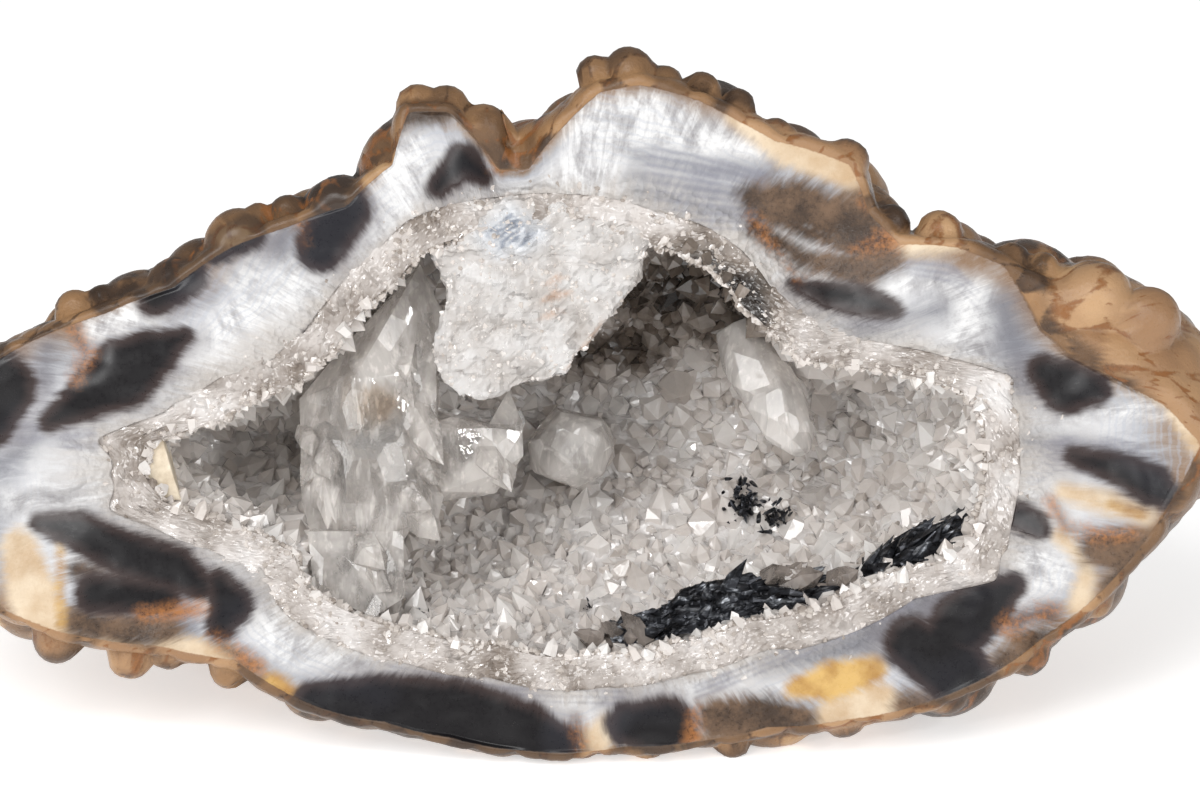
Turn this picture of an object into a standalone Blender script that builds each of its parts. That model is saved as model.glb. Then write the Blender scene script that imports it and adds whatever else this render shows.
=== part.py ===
"""A geode half that stands on its rind and leans back, with its hollow of quartz crystals facing the front.

Sizes are millimetres in the frame of the broken face: u runs to the right, v up the face and w out of it.
rim_to_world turns that frame by the lean and sets it on the ground, and everything is stored in metres.
"""

import math
import random

import bmesh
import bpy
import numpy as np
from mathutils import Vector

MM = 0.001

# Driving dimensions of the whole half
LEAN = math.radians(18)
SEAT = (2.85, -15.94, 27.6)
CENTRE = (-3.0, -3.0)
INSIDE_POINT = (-3.0, -1.0, -9.0)
SHELL_DEPTH = 40.0
HOLLOW_DEPTH = 24.0
BELLY_DEPTH = 7.0
BELLY_SHARE = 0.8
FOLD_ALLOWANCE = 1.5
FOLD_DEPTH = 0.4
BACK_ROUNDNESS = 2.6
DETAIL_STARTS = 0.45
DETAIL_RUN = 0.3
SMOOTHING_TURNS = (-0.36, -0.24, -0.12, 0.0, 0.12, 0.24, 0.36)

# Per mm behind the face, the underside rises by the first and the top falls away by the second
UNDERSIDE_RISE = 0.15
TOP_FALL = 0.12
HALF_HEIGHT = 28.0

# The hollow is rounder under its roof, which it undercuts, and is deepest a little above the middle
HOLLOW_ROUNDNESS = 2.3
ROOF_ROUNDNESS = 0.6
ROOF_UNDERCUT = 2.6
HOLLOW_RISE = 1.5
MOST_SLANT = 1.8

# The crust of small crystals and the clearance between pieces
CRUST_THICKNESS = 2.1
GAP = 0.3
CRUST_GAP = 0.7
CRYSTAL_HEIGHT = 0.5
CRYSTAL_LEAN = 0.16
CORNER_SCATTER = 0.18
CRYSTAL_HEIGHTS = (0.55, 1.1)
PLAIN_LIP = 1.8
LID_HEIGHT = 3.0
LID_ROWS = 2

# How finely the shell and the crust are faceted
SHELL_COLUMNS = 96
SHELL_ROWS = 29
RIM_ROW = 18
EDGE_ROW = 21
CRUST_COLUMNS = 48
CRUST_ROWS = 16

# The widest line of the body, seen square to the face, without the lumps that stand on it
BODY_OUTLINE = (
    (53.4, 0.0), (52.2, 6.0), (49.0, 9.8), (45.0, 12.2), (40.0, 13.2), (35.5, 13.4), (31.0, 15.4),
    (26.0, 15.8), (23.0, 18.2), (21.8, 22.6), (15.0, 24.6), (12.5, 26.2), (8.5, 28.0), (3.5, 29.6),
    (-0.8, 28.8), (-4.0, 26.2), (-8.5, 24.8), (-12.0, 26.6), (-16.6, 26.8), (-18.4, 21.6),
    (-22.0, 18.8), (-27.0, 17.2), (-31.0, 15.8), (-36.0, 12.2), (-41.0, 10.0), (-47.0, 7.8),
    (-53.0, 4.6), (-57.0, -1.0), (-57.4, -8.0), (-54.6, -13.6), (-50.0, -16.8), (-45.5, -18.8),
    (-37.0, -20.0), (-31.0, -21.2), (-24.0, -25.2), (-18.0, -26.4), (-12.5, -27.6), (-6.0, -28.6),
    (2.0, -28.4), (8.0, -27.8), (14.0, -26.8), (20.5, -26.2), (27.0, -25.0), (33.0, -22.6),
    (37.5, -19.8), (42.0, -16.0), (45.5, -12.0), (50.5, -6.6),
)

# The outer edge of the broken face; on the right the rind folds over in front of the belly
FACE_OUTLINE = (
    (50.0, -2.0), (47.0, 1.2), (42.6, 3.4), (38.8, 5.4), (36.5, 7.5), (35.3, 10.0), (33.6, 12.8),
    (29.5, 14.4), (25.0, 14.6), (22.5, 17.0), (20.8, 21.2), (14.5, 23.2), (11.5, 24.8), (8.0, 26.6),
    (3.3, 27.8), (0.0, 27.2), (-3.0, 24.4), (-6.0, 20.8), (-8.5, 20.8), (-10.5, 23.6),
    (-12.5, 25.6), (-15.9, 25.6), (-17.2, 21.2), (-21.0, 17.8), (-26.0, 16.0), (-30.5, 14.4),
    (-35.5, 11.0), (-41.0, 8.9), (-47.0, 6.7), (-52.4, 3.6), (-55.5, -1.0), (-56.0, -7.0),
    (-53.6, -12.6), (-49.5, -15.8), (-45.0, -17.6), (-36.5, -18.9), (-30.5, -20.0), (-23.5, -24.0),
    (-18.0, -25.2), (-12.5, -26.5), (-6.0, -27.6), (2.0, -27.2), (8.0, -26.8), (14.0, -25.6),
    (20.5, -25.0), (26.5, -23.8), (32.3, -21.4), (36.6, -18.6), (41.0, -15.0), (44.6, -11.2),
)

# The edge of the hollow, on the free side of the crystal crust
HOLLOW_OUTLINE = (
    (32.0, 0.0), (30.0, 2.6), (24.5, 3.9), (20.0, 4.6), (17.0, 4.9), (14.0, 7.6), (12.0, 9.4),
    (10.0, 12.0), (7.5, 13.6), (3.4, 14.8), (-3.0, 16.0), (-8.0, 15.8), (-14.5, 14.2),
    (-17.0, 11.5), (-19.0, 10.0), (-22.0, 6.0), (-25.0, 3.2), (-31.5, 0.0), (-37.6, -2.0),
    (-38.0, -4.6), (-36.5, -6.8), (-32.0, -8.2), (-28.5, -9.5), (-25.6, -11.0), (-24.5, -14.0),
    (-20.0, -16.4), (-15.0, -17.7), (-8.5, -18.8), (0.0, -19.5), (6.0, -18.7), (12.0, -16.8),
    (17.0, -16.0), (20.5, -14.8), (24.5, -12.6), (28.5, -12.0), (31.0, -10.0), (32.2, -5.0),
)

# Swells and dips of the broken face: u, v, reach, height
FACE_RELIEF = (
    (18.0, 15.0, 5.5, -2.2), (-7.5, 22.0, 3.0, -2.4), (-46.5, -14.0, 4.5, 1.6), (37.0, -12.0, 4.0, 1.4),
    (36.5, -16.6, 2.4, -2.0), (4.0, 22.0, 6.0, 1.0), (-43.3, 5.5, 2.0, -1.0), (41.0, 0.5, 4.0, 0.8),
    (-16.0, 19.0, 4.5, 1.2), (-44.0, -4.3, 3.0, -0.8), (27.0, 8.5, 4.5, 0.8), (0.0, -22.5, 9.0, 0.6),
    (-55.0, -5.0, 9.0, -1.6), (-30.0, 8.0, 6.0, 0.7), (24.0, -18.0, 7.0, 0.5),
)
RELIEF_FADE = 5.0

# Lumps of the rind that show on the outline: u, v, radius
EDGE_LUMPS = (
    (-44.0, 9.3, 1.7), (-41.8, 10.1, 1.3), (-39.6, 11.0, 1.0), (-35.6, 11.4, 2.3), (-30.3, 15.0, 2.8),
    (-28.6, 17.1, 1.2), (-26.2, 17.4, 1.5), (-21.9, 17.5, 3.0), (-15.3, 26.5, 1.7), (-12.8, 26.4, 1.7),
    (-9.6, 24.4, 2.1), (-9.5, 21.6, 2.1), (-0.4, 28.9, 1.7), (2.4, 29.1, 2.2), (5.4, 28.3, 1.4),
    (8.6, 27.6, 1.5), (11.5, 26.4, 1.4), (14.8, 23.5, 1.6), (20.6, 21.7, 1.7), (24.6, 16.5, 1.5),
    (28.5, 15.7, 2.0), (34.6, 13.4, 1.4), (37.0, 12.6, 1.3), (41.5, 10.2, 3.2), (46.0, 8.4, 2.8),
    (41.5, -15.0, 1.6), (36.0, -19.9, 1.7), (29.0, -22.8, 2.0), (20.5, -24.9, 1.8), (11.2, -27.3, 1.4),
    (4.0, -26.9, 1.8), (-31.3, -21.3, 1.5), (-36.4, -19.6, 1.6), (-39.5, -20.2, 1.9), (-45.7, -18.7, 2.0),
    (-51.5, 2.4, 2.6), (-55.0, -9.0, 3.0),
)
EDGE_LUMP_DEPTH = 2.5

# Larger lumps scattered over the hidden back; they shrink towards the face
BACK_LUMPS = 120
BACK_LUMP_RADII = (3.6, 6.0)
LUMP_SPREAD = 0.72
LUMP_SHRINK = 0.5
LUMP_SINK = 0.5
LUMP_FADE = 0.04
SCATTER_SEED = 7
SCATTER_TRIES = 24

# The lumps that it rests on are worn flat against the ground
REST_CLEARANCE = 0.7

# Colours: red, green, blue, then roughness and metallic
FINISHES = {
    "agate": ((0.42, 0.33, 0.25), 0.45, 0.0),
    "quartz": ((0.72, 0.70, 0.68), 0.3, 0.0),
    "frosted_quartz": ((0.80, 0.78, 0.77), 0.25, 0.0),
    "clear_quartz": ((0.86, 0.86, 0.85), 0.05, 0.0),
    "milky_quartz": ((0.80, 0.79, 0.78), 0.2, 0.0),
    "black_mineral": ((0.05, 0.055, 0.06), 0.35, 0.6),
}


def clear_scene():
    for obj in list(bpy.data.objects):
        bpy.data.objects.remove(obj, do_unlink=True)


def rim_to_world(points):
    """Points of the face frame, in mm, as world points in metres."""
    u, v, w = np.moveaxis(np.asarray(points, float), -1, 0)
    sine, cosine = math.sin(LEAN), math.cos(LEAN)
    x = SEAT[0] + u
    y = SEAT[1] + v * sine - w * cosine
    z = SEAT[2] + v * cosine + w * sine
    return np.stack([x, y, z], -1) * MM


def world_to_rim(points):
    x, y, z = np.moveaxis(np.asarray(points, float) / MM, -1, 0)
    sine, cosine = math.sin(LEAN), math.cos(LEAN)
    y, z = y - SEAT[1], z - SEAT[2]
    return np.stack([x - SEAT[0], y * sine + z * cosine, z * sine - y * cosine], -1)


def polar_radius(outline):
    """The outline's distance from CENTRE as a function of the angle round it."""
    points = np.array(outline) - CENTRE
    angles = np.arctan2(points[:, 1], points[:, 0])
    order = np.argsort(angles)
    radii = np.hypot(points[:, 0], points[:, 1])
    return lambda angle: np.interp(angle, angles[order], radii[order], period=2 * math.pi)


body_radius = polar_radius(BODY_OUTLINE)
face_radius = polar_radius(FACE_OUTLINE)
hollow_radius = polar_radius(HOLLOW_OUTLINE)


def wall_radius(angle, inset):
    """The hollow's wall in the face plane, moved inwards square to its outline by inset."""
    step = 0.05
    radius = hollow_radius(angle)
    slope = (hollow_radius(angle + step) - hollow_radius(angle - step)) / (2 * step * radius)
    slant = np.minimum(np.hypot(1, slope), MOST_SLANT)
    return radius + (CRUST_THICKNESS + CRUST_GAP - inset) * slant


def even_angles(turns):
    """Angles for positions 0 to 1 that stand equally far apart along the body's outline."""
    angle = np.linspace(-math.pi, math.pi, 1441)
    radius = body_radius(angle)
    steps = np.hypot(np.diff(radius * np.cos(angle)), np.diff(radius * np.sin(angle)))
    length = np.concatenate([[0], np.cumsum(steps)])
    return np.interp(turns, length / length[-1], angle)


def rounded(turn, roundness):
    """Side and depth of a quarter superellipse, from the pole at turn 0 to its rim at turn 1."""
    side, depth = np.sin(turn * math.pi / 2), np.cos(turn * math.pi / 2)
    size = (side**roundness + depth**roundness) ** (-1 / roundness)
    return side * size, depth * size


def at(angle, radius, w, rise=0.0):
    u = CENTRE[0] + radius * np.cos(angle)
    v = CENTRE[1] + radius * np.sin(angle) + rise
    return np.stack([u, v, w + 0 * u], -1)


def with_relief(points):
    """Moves the broken face, and what is near it, out or in by its swells and dips."""
    points = points.copy()
    fade = np.exp(-((points[..., 2] / RELIEF_FADE) ** 2))
    for u, v, reach, height in FACE_RELIEF:
        away = (points[..., 0] - u) ** 2 + (points[..., 1] - v) ** 2
        points[..., 2] += height * fade * np.exp(-away / reach**2)
    return points


def rind_base(angle, share):
    """The outside without its lumps: share 0 is the pole at the back, and 1 is the face's outer edge."""
    body, face = body_radius(angle), face_radius(angle)
    belly = BELLY_DEPTH + FOLD_DEPTH * np.maximum(body - face - FOLD_ALLOWANCE, 0)
    plain = np.mean([body_radius(angle + turn) for turn in SMOOTHING_TURNS], axis=0)
    detail = np.clip((share - DETAIL_STARTS) / DETAIL_RUN, 0, 1)
    body = plain + (body - plain) * detail
    side, depth = rounded(np.clip(share / BELLY_SHARE, 0, 1), BACK_ROUNDNESS)
    back_w = -belly - (SHELL_DEPTH - belly) * depth
    fold = np.clip((share - BELLY_SHARE) / (1 - BELLY_SHARE), 0, 1) * math.pi / 2
    radius = np.where(share < BELLY_SHARE, body * side, face + (body - face) * np.cos(fold))
    w = np.where(share < BELLY_SHARE, back_w, -belly * (1 - np.sin(fold)))
    upward = 0.5 + 0.5 * np.clip(radius * np.sin(angle) / HALF_HEIGHT, -1, 1)
    tilt = UNDERSIDE_RISE * (1 - upward) - TOP_FALL * upward
    points = with_relief(at(angle, radius, w, rise=-tilt * w))
    world = rim_to_world(points)
    world[..., 2] = np.maximum(world[..., 2], REST_CLEARANCE * MM)
    return world_to_rim(world)


def rind_normal(angle, share):
    """Outward directions of the bare outside, from small steps round and across it."""
    step = 0.02
    share = np.clip(share, step, 1 - step)
    round_it = rind_base(angle + step, share) - rind_base(angle - step, share)
    across_it = rind_base(angle, share + step) - rind_base(angle, share - step)
    normal = np.cross(round_it, across_it)
    return normal / np.linalg.norm(normal, axis=-1, keepdims=True)


def back_lumps():
    """Lumps spread over the outside, each one put where it is farthest from those already there."""
    chance = random.Random(SCATTER_SEED)
    centres, radii = [], []
    for _ in range(BACK_LUMPS):
        tries = []
        for _ in range(SCATTER_TRIES):
            tries.append((chance.uniform(-math.pi, math.pi), chance.uniform(0, LUMP_SPREAD)))
        angles, spreads = np.array(tries).T
        points = rind_base(angles, np.sqrt(spreads))
        rooms = np.min([np.linalg.norm(points - other, axis=1) for other in centres or [0 * points]], axis=0)
        best = int(np.argmax(rooms))
        share = math.sqrt(spreads[best])
        radius = chance.uniform(*BACK_LUMP_RADII) * (1 - LUMP_SHRINK * share**4)
        normal = rind_normal(angles[best], share)
        centres.append(points[best] - normal * radius * LUMP_SINK)
        radii.append(radius)
    return centres, radii


def all_lumps():
    centres, radii = back_lumps()
    for u, v, radius in EDGE_LUMPS:
        centres.append(np.array([u, v, -EDGE_LUMP_DEPTH]))
        radii.append(radius)
    return np.array(centres), np.array(radii)


def rind_surface(angle, share, lumps):
    """The outside with its lumps. Where balls meet, the higher one wins, which leaves a crease."""
    base, normal = rind_base(angle, share), rind_normal(angle, share)
    height = np.zeros(base.shape[:-1])
    for centre, radius in zip(*lumps):
        to_centre = centre - base
        along = (to_centre * normal).sum(-1)
        inside = radius**2 - (to_centre**2).sum(-1) + along**2
        covered = (inside > 0) & (along < radius)
        height = np.maximum(height, np.where(covered, along + np.sqrt(np.abs(inside)), 0))
    fade = np.clip((1 - share) / LUMP_FADE, 0, 1)
    world = rim_to_world(base + normal * (height * fade)[..., None])
    world[..., 2] = np.maximum(world[..., 2], 0)
    return world_to_rim(world)


def hollow_surface(angle, share, inset):
    """The wall of the hollow: share 0 is its edge in the face and 1 its deepest point."""
    upward = np.sin(angle)
    side, depth = rounded(1 - share, HOLLOW_ROUNDNESS + ROOF_ROUNDNESS * upward)
    undercut = ROOF_UNDERCUT * np.maximum(upward, 0) * np.sin(math.pi * share) * (1 - share)
    radius = wall_radius(angle, inset) * side + undercut
    w = -(HOLLOW_DEPTH + CRUST_THICKNESS + CRUST_GAP - inset) * depth
    return with_relief(at(angle, radius, w, rise=HOLLOW_RISE * share))


def mapped_sphere(columns, rows, place):
    """A closed ball of columns and rows, each point moved to place(angle, row) in the face frame."""
    bm = bmesh.new()
    bmesh.ops.create_uvsphere(bm, u_segments=columns, v_segments=rows, radius=1)
    co = np.array([vert.co for vert in bm.verts])
    turns = np.arctan2(co[:, 1], co[:, 0]) / (2 * math.pi) + 0.5
    row = np.round((np.arcsin(np.clip(co[:, 2], -1, 1)) / math.pi + 0.5) * rows, 3)
    world = rim_to_world(place(even_angles(turns), row))
    for vert, point in zip(bm.verts, world):
        vert.co = point
    bmesh.ops.recalc_face_normals(bm, faces=bm.faces)
    return bm


def to_object(name, bm):
    mesh = bpy.data.meshes.new(name)
    bm.to_mesh(mesh)
    bm.free()
    obj = bpy.data.objects.new(name, mesh)
    bpy.context.collection.objects.link(obj)
    return obj


def finish(obj, slot):
    colour, roughness, metallic = FINISHES[slot]
    material = bpy.data.materials.new(slot)
    material.use_nodes = True
    shader = material.node_tree.nodes["Principled BSDF"]
    shader.inputs["Base Color"].default_value = (*colour, 1)
    shader.inputs["Roughness"].default_value = roughness
    shader.inputs["Metallic"].default_value = metallic
    obj.data.materials.append(material)


def hide(obj):
    obj.hide_render = True
    obj.display_type = "WIRE"
    return obj


def boolean(obj, operation, other, solver="EXACT"):
    modifier = obj.modifiers.new(f"{operation.lower()} {other.name}", "BOOLEAN")
    modifier.operation = operation
    modifier.solver = solver
    modifier.object = other


def agate_shell():
    """Rind, agate wall and broken face in one closed bowl."""
    lumps = all_lumps()

    def place(angle, row):
        outside = rind_surface(angle, np.clip(row / RIM_ROW, 0, 1), lumps)
        across = np.clip((row - RIM_ROW) / (EDGE_ROW - RIM_ROW), 0, 1)
        inner = wall_radius(angle, 0.0)
        outer = face_radius(angle)
        face = with_relief(at(angle, outer + (inner - outer) * across, 0.0))
        wall = hollow_surface(angle, np.clip((row - EDGE_ROW) / (SHELL_ROWS - EDGE_ROW), 0, 1), 0.0)
        row = row[:, None]
        return np.where(row < RIM_ROW, outside, np.where(row <= EDGE_ROW, face, wall))

    obj = to_object("agate_shell", mapped_sphere(SHELL_COLUMNS, SHELL_ROWS, place))
    finish(obj, "agate")


def hollow_space():
    """The space inside the wall, closed by a lid in front of the face. It trims the crystals."""
    half = CRUST_ROWS / 2
    inset = CRUST_GAP + GAP

    def place(angle, row):
        wall = hollow_surface(angle, np.clip(1 - row / half, 0, 1), inset)
        forward = np.clip((row - half) / LID_ROWS, 0, 1)
        inwards = np.clip((row - half - LID_ROWS) / (half - LID_ROWS), 0, 1)
        edge = wall_radius(angle, inset)
        lid = at(angle, edge * (1 - inwards), LID_HEIGHT * forward)
        return np.where(row[:, None] <= half, wall, lid)

    return hide(to_object("hollow_space", mapped_sphere(CRUST_COLUMNS, CRUST_ROWS, place)))


def quartz_crust(seats):
    """The lining of the hollow, a thin bowl whose free side is a bed of pointed crystals."""
    half = CRUST_ROWS / 2

    def place(angle, row):
        back = hollow_surface(angle, np.clip(1 - row / half, 0, 1), CRUST_GAP)
        front = hollow_surface(angle, np.clip(row / half - 1, 0, 1), CRUST_GAP + CRUST_THICKNESS)
        return np.where(row[:, None] <= half, back, front)

    bm = mapped_sphere(CRUST_COLUMNS, CRUST_ROWS, place)
    middle = Vector(rim_to_world(np.array(INSIDE_POINT)))
    free_side = [face for face in bm.faces if face.normal.dot(middle - face.calc_center_median()) > 0]
    chance = random.Random(SCATTER_SEED)
    back_side = set(bm.faces) - set(free_side)
    for vert in bm.verts:
        if back_side.isdisjoint(vert.link_faces):
            room = min(edge.calc_length() for edge in vert.link_edges)
            vert.co += Vector([chance.uniform(-1, 1) for _ in range(3)]) * CORNER_SCATTER * room
    depths = {face: -world_to_rim(np.array(face.calc_center_median()))[2] for face in free_side}
    bed = [face for face in free_side if depths[face] > PLAIN_LIP]
    tips = bmesh.ops.poke(bm, faces=bed, center_mode="MEAN")["verts"]
    bm.normal_update()
    for tip in sorted(tips, key=lambda vert: tuple(vert.co)):
        size = math.sqrt(sum(face.calc_area() for face in tip.link_faces))
        lean = Vector([chance.uniform(-1, 1) for _ in range(3)]) * size * CRYSTAL_LEAN
        tip.co += tip.normal * size * CRYSTAL_HEIGHT * chance.uniform(*CRYSTAL_HEIGHTS) + lean
    obj = to_object("quartz_crust", bm)
    finish(obj, "quartz")
    for seat in seats:
        boolean(obj, "DIFFERENCE", seat, solver="MANIFOLD")


def hull(name, points, swell=0.0):
    """A convex crystal through the outermost of these world points, swelled evenly by so many metres."""
    bm = bmesh.new()
    for point in points:
        bm.verts.new(point)
    made = bmesh.ops.convex_hull(bm, input=bm.verts)
    inner = {item for item in made["geom_interior"] if isinstance(item, bmesh.types.BMVert)}
    bmesh.ops.delete(bm, geom=list(inner), context="VERTS")
    bmesh.ops.recalc_face_normals(bm, faces=bm.faces)
    bm.normal_update()
    moves = [(vert, vert.normal * vert.calc_shell_factor() * swell) for vert in bm.verts]
    for vert, move in moves:
        vert.co += move
    return to_object(name, bm)


def prism(base, tip, radius, point_length, flatness=1.0, spin=0.0):
    """Corners of a six-sided crystal with a pointed end, in the face frame."""
    base, tip = Vector(base), Vector(tip)
    axis = (tip - base).normalized()
    side = axis.cross(Vector((0, 1, 0.2))).normalized()
    other = axis.cross(side)
    corners = [tuple(tip)]
    for turn in range(6):
        angle = spin + turn * math.pi / 3
        out = side * math.cos(angle) * radius + other * math.sin(angle) * radius * flatness
        corners += [tuple(base + out), tuple(tip - axis * point_length + out)]
    return corners


def crystal_piece(name, slot, blocks, space, one_seat=False):
    """One solid of overlapping convex blocks, trimmed clear of the wall. Returns the seats that they need."""
    shapes = [list(rim_to_world(np.array(block))) for block in blocks]
    obj = hull(name, shapes[0])
    for number, points in enumerate(shapes[1:]):
        boolean(obj, "UNION", hide(hull(f"{name}_block_{number}", points)))
    boolean(obj, "INTERSECT", space)
    finish(obj, slot)
    seats = [sum(shapes, [])] if one_seat else shapes
    return [hide(hull(f"{name}_seat_{number}", points, GAP * MM)) for number, points in enumerate(seats)]


# Corners of the crystals with shapes of their own: u, v, w
LARGE_CRYSTAL = (
    (-25.4, 1.6, -5.0), (-22.4, 5.2, -5.2), (-18.2, 9.4, -5.0), (-15.2, 13.0, -5.8), (-13.4, 9.0, -6.0),
    (-13.8, 3.8, -4.4), (-13.8, -3.0, -4.2), (-15.0, -7.6, -3.6), (-17.2, -11.4, -4.8),
    (-20.8, -11.2, -4.4), (-24.4, -10.2, -5.2), (-25.2, -7.0, -4.6), (-20.6, 3.4, -2.2), (-18.8, -7.2, -2.2),
    (-24.0, 0.5, -14.0), (-17.5, 9.5, -13.0), (-14.4, 4.0, -13.0), (-15.2, -8.0, -14.0), (-22.5, -9.5, -13.0),
)
FOOT_BLOCK = (
    (-24.6, -9.5, -3.0), (-24.0, -14.6, -2.4), (-19.0, -16.6, -2.0), (-16.4, -15.0, -2.2),
    (-16.6, -9.5, -3.8), (-23.0, -9.0, -11.0), (-17.0, -9.0, -11.0), (-20.0, -16.5, -8.0),
)
POINTING_CRYSTAL = (
    (-12.6, 0.0, -7.0), (-9.2, -0.9, -6.0), (-6.6, -1.2, -6.6), (-6.5, -3.3, -6.6), (-8.9, -6.5, -6.8),
    (-14.8, -7.4, -6.6), (-13.4, -6.2, -4.6), (-8.8, -4.8, -5.2), (-15.6, -1.0, -6.0),
    (-14.6, 0.5, -12.5), (-8.6, -1.4, -12.0), (-9.6, -6.0, -12.0), (-15.0, -6.5, -13.0),
)
UPRIGHT_CRYSTAL = (
    (-7.8, 2.3, -9.0), (-6.5, -0.8, -8.0), (-9.4, -0.6, -7.8), (-9.8, -3.0, -9.0), (-7.0, -3.4, -9.0),
    (-6.8, -1.5, -11.0), (-9.8, -1.0, -11.4),
)
HANGING_UPPER = (
    (-14.2, 14.4, -0.8), (-12.6, 10.0, -1.0), (-0.6, 7.4, -0.9), (3.2, 11.6, -0.9), (3.6, 15.2, -0.8),
    (-4.0, 16.6, -0.4), (-5.5, 11.0, -0.2), (-14.0, 14.6, -7.0), (-12.0, 9.6, -5.6),
    (-0.8, 8.0, -5.4), (3.2, 12.0, -6.4), (3.4, 15.4, -7.4), (-4.0, 17.0, -8.4),
)
HANGING_LOWER = (
    (-13.0, 10.6, -1.2), (-14.2, 4.4, -1.8), (-11.7, 1.4, -2.4), (-8.9, 2.8, -2.0), (-2.8, 3.7, -1.8),
    (-1.5, 5.5, -1.4), (0.8, 9.4, -1.2), (-7.0, 7.0, -0.4), (-12.6, 9.0, -4.6), (-11.6, 2.0, -4.0),
    (-3.0, 4.3, -4.2), (0.2, 9.0, -5.0),
)
RIDGE_BLADES = (
    ((0.4, -16.9, -3.0), (5.2, -16.0, -4.0), (4.8, -19.2, -1.6), (0.8, -19.2, -1.8), (2.4, -17.4, -6.8),
     (6.0, -18.2, -6.4)),
    ((4.2, -16.4, -3.2), (7.6, -14.0, -4.4), (11.6, -13.6, -4.2), (11.0, -17.6, -1.4), (5.0, -18.6, -1.6),
     (8.0, -16.4, -8.2)),
    ((9.4, -14.0, -4.0), (12.8, -13.0, -4.8), (14.4, -14.8, -2.6), (12.0, -17.2, -1.2), (9.0, -17.8, -1.4),
     (12.0, -15.0, -8.8)),
    ((13.0, -14.2, -3.6), (16.1, -12.2, -5.2), (18.0, -14.0, -3.4), (17.4, -16.0, -1.2), (12.6, -16.8, -1.2),
     (15.8, -14.0, -8.8)),
    ((16.4, -13.8, -4.2), (19.2, -13.4, -4.8), (20.2, -14.8, -2.4), (19.0, -15.8, -1.0), (15.8, -16.4, -1.2),
     (18.4, -14.2, -7.8)),
)
LEDGE_BLADES = (
    ((20.8, -13.2, -2.6), (24.6, -10.8, -4.0), (25.6, -12.2, -1.4), (21.4, -14.2, -1.4), (23.2, -12.0, -6.6)),
    ((24.0, -11.6, -3.0), (27.6, -8.4, -4.6), (29.4, -11.4, -1.4), (25.0, -12.6, -1.2), (27.0, -9.8, -7.0)),
    ((27.2, -10.4, -3.2), (30.4, -7.8, -4.4), (31.6, -9.6, -1.8), (28.6, -12.0, -1.2), (29.8, -9.0, -7.0)),
)


def main():
    clear_scene()
    agate_shell()
    space = hollow_space()
    milky = [prism((-2.6, -3.6, -25.0), (-2.0, -2.6, -11.0), 4.3, 3.2, flatness=0.8, spin=0.4)]
    pale = [prism((12.0, 8.0, -14.5), (17.6, -3.6, -9.5), 3.1, 3.4, flatness=0.9, spin=0.2)]
    clear = [LARGE_CRYSTAL, FOOT_BLOCK, POINTING_CRYSTAL, UPRIGHT_CRYSTAL]
    seats = crystal_piece("clear_crystals", "clear_quartz", clear, space)
    seats += crystal_piece("hanging_quartz", "frosted_quartz", [HANGING_UPPER, HANGING_LOWER], space)
    seats += crystal_piece("milky_crystal", "milky_quartz", milky, space)
    seats += crystal_piece("pale_crystal", "milky_quartz", pale, space)
    seats += crystal_piece("black_ridge", "black_mineral", RIDGE_BLADES, space, one_seat=True)
    seats += crystal_piece("black_ledge", "black_mineral", LEDGE_BLADES, space, one_seat=True)
    quartz_crust(seats)


main()
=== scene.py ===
# %% [markdown]
# # Dressing a geode half
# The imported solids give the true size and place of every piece: the lumpy agate bowl, its crust of quartz,
# the hanging slab, the clear crystals and the black mineral. This lesson gives each of them its finish,
# from the large forms down to the glint of a crystal face. Everything is measured in millimetres on the
# broken face of the stone.

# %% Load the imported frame
import math
import random
from functools import reduce

import bmesh
import bpy
import numpy as np
from mathutils import Matrix, Vector, noise


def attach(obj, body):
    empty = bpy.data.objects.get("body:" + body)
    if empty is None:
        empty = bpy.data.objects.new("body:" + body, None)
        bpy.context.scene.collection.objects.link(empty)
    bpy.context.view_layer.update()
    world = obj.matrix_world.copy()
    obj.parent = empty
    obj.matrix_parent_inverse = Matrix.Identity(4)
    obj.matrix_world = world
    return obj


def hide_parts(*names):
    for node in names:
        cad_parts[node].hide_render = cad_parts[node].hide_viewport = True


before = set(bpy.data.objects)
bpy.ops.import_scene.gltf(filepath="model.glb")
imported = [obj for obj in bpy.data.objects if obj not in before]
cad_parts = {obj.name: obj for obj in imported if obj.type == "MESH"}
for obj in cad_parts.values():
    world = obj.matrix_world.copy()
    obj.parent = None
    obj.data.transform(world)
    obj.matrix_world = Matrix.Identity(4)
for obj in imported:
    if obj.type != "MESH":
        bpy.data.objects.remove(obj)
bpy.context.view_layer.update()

print("pieces in the frame:", sorted(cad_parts))

# %% [markdown]
# ## The frame of the broken face
# The half stands on its rind and leans back, so its face isn't upright. It is far easier to say where
# something is on the face than in the room. So u runs to the right, v up the face and w out of it, and one
# pair of functions turns that frame by the lean and sets it on the ground.

# %% From the face to the room and back
MM = 0.001
LEAN = math.radians(18)
SEAT = (2.85, -15.94, 27.6)
CENTRE = (-3.0, -3.0)


def rim_to_world(points):
    u, v, w = np.moveaxis(np.asarray(points, float), -1, 0)
    sine, cosine = math.sin(LEAN), math.cos(LEAN)
    x = SEAT[0] + u
    y = SEAT[1] + v * sine - w * cosine
    z = SEAT[2] + v * cosine + w * sine
    return np.stack([x, y, z], -1) * MM


def world_to_rim(points):
    x, y, z = np.moveaxis(np.asarray(points, float) / MM, -1, 0)
    sine, cosine = math.sin(LEAN), math.cos(LEAN)
    y, z = y - SEAT[1], z - SEAT[2]
    return np.stack([x - SEAT[0], y * sine + z * cosine, z * sine - y * cosine], -1)


# %% [markdown]
# ## The three outlines
# A geode half is told by three lines seen square to its face: the widest line of the body, the outer edge
# of the break, and the edge of the hollow. Every surface of the shell is worked out from them, so the fine
# mesh made here lies on the solid of the frame.

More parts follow.
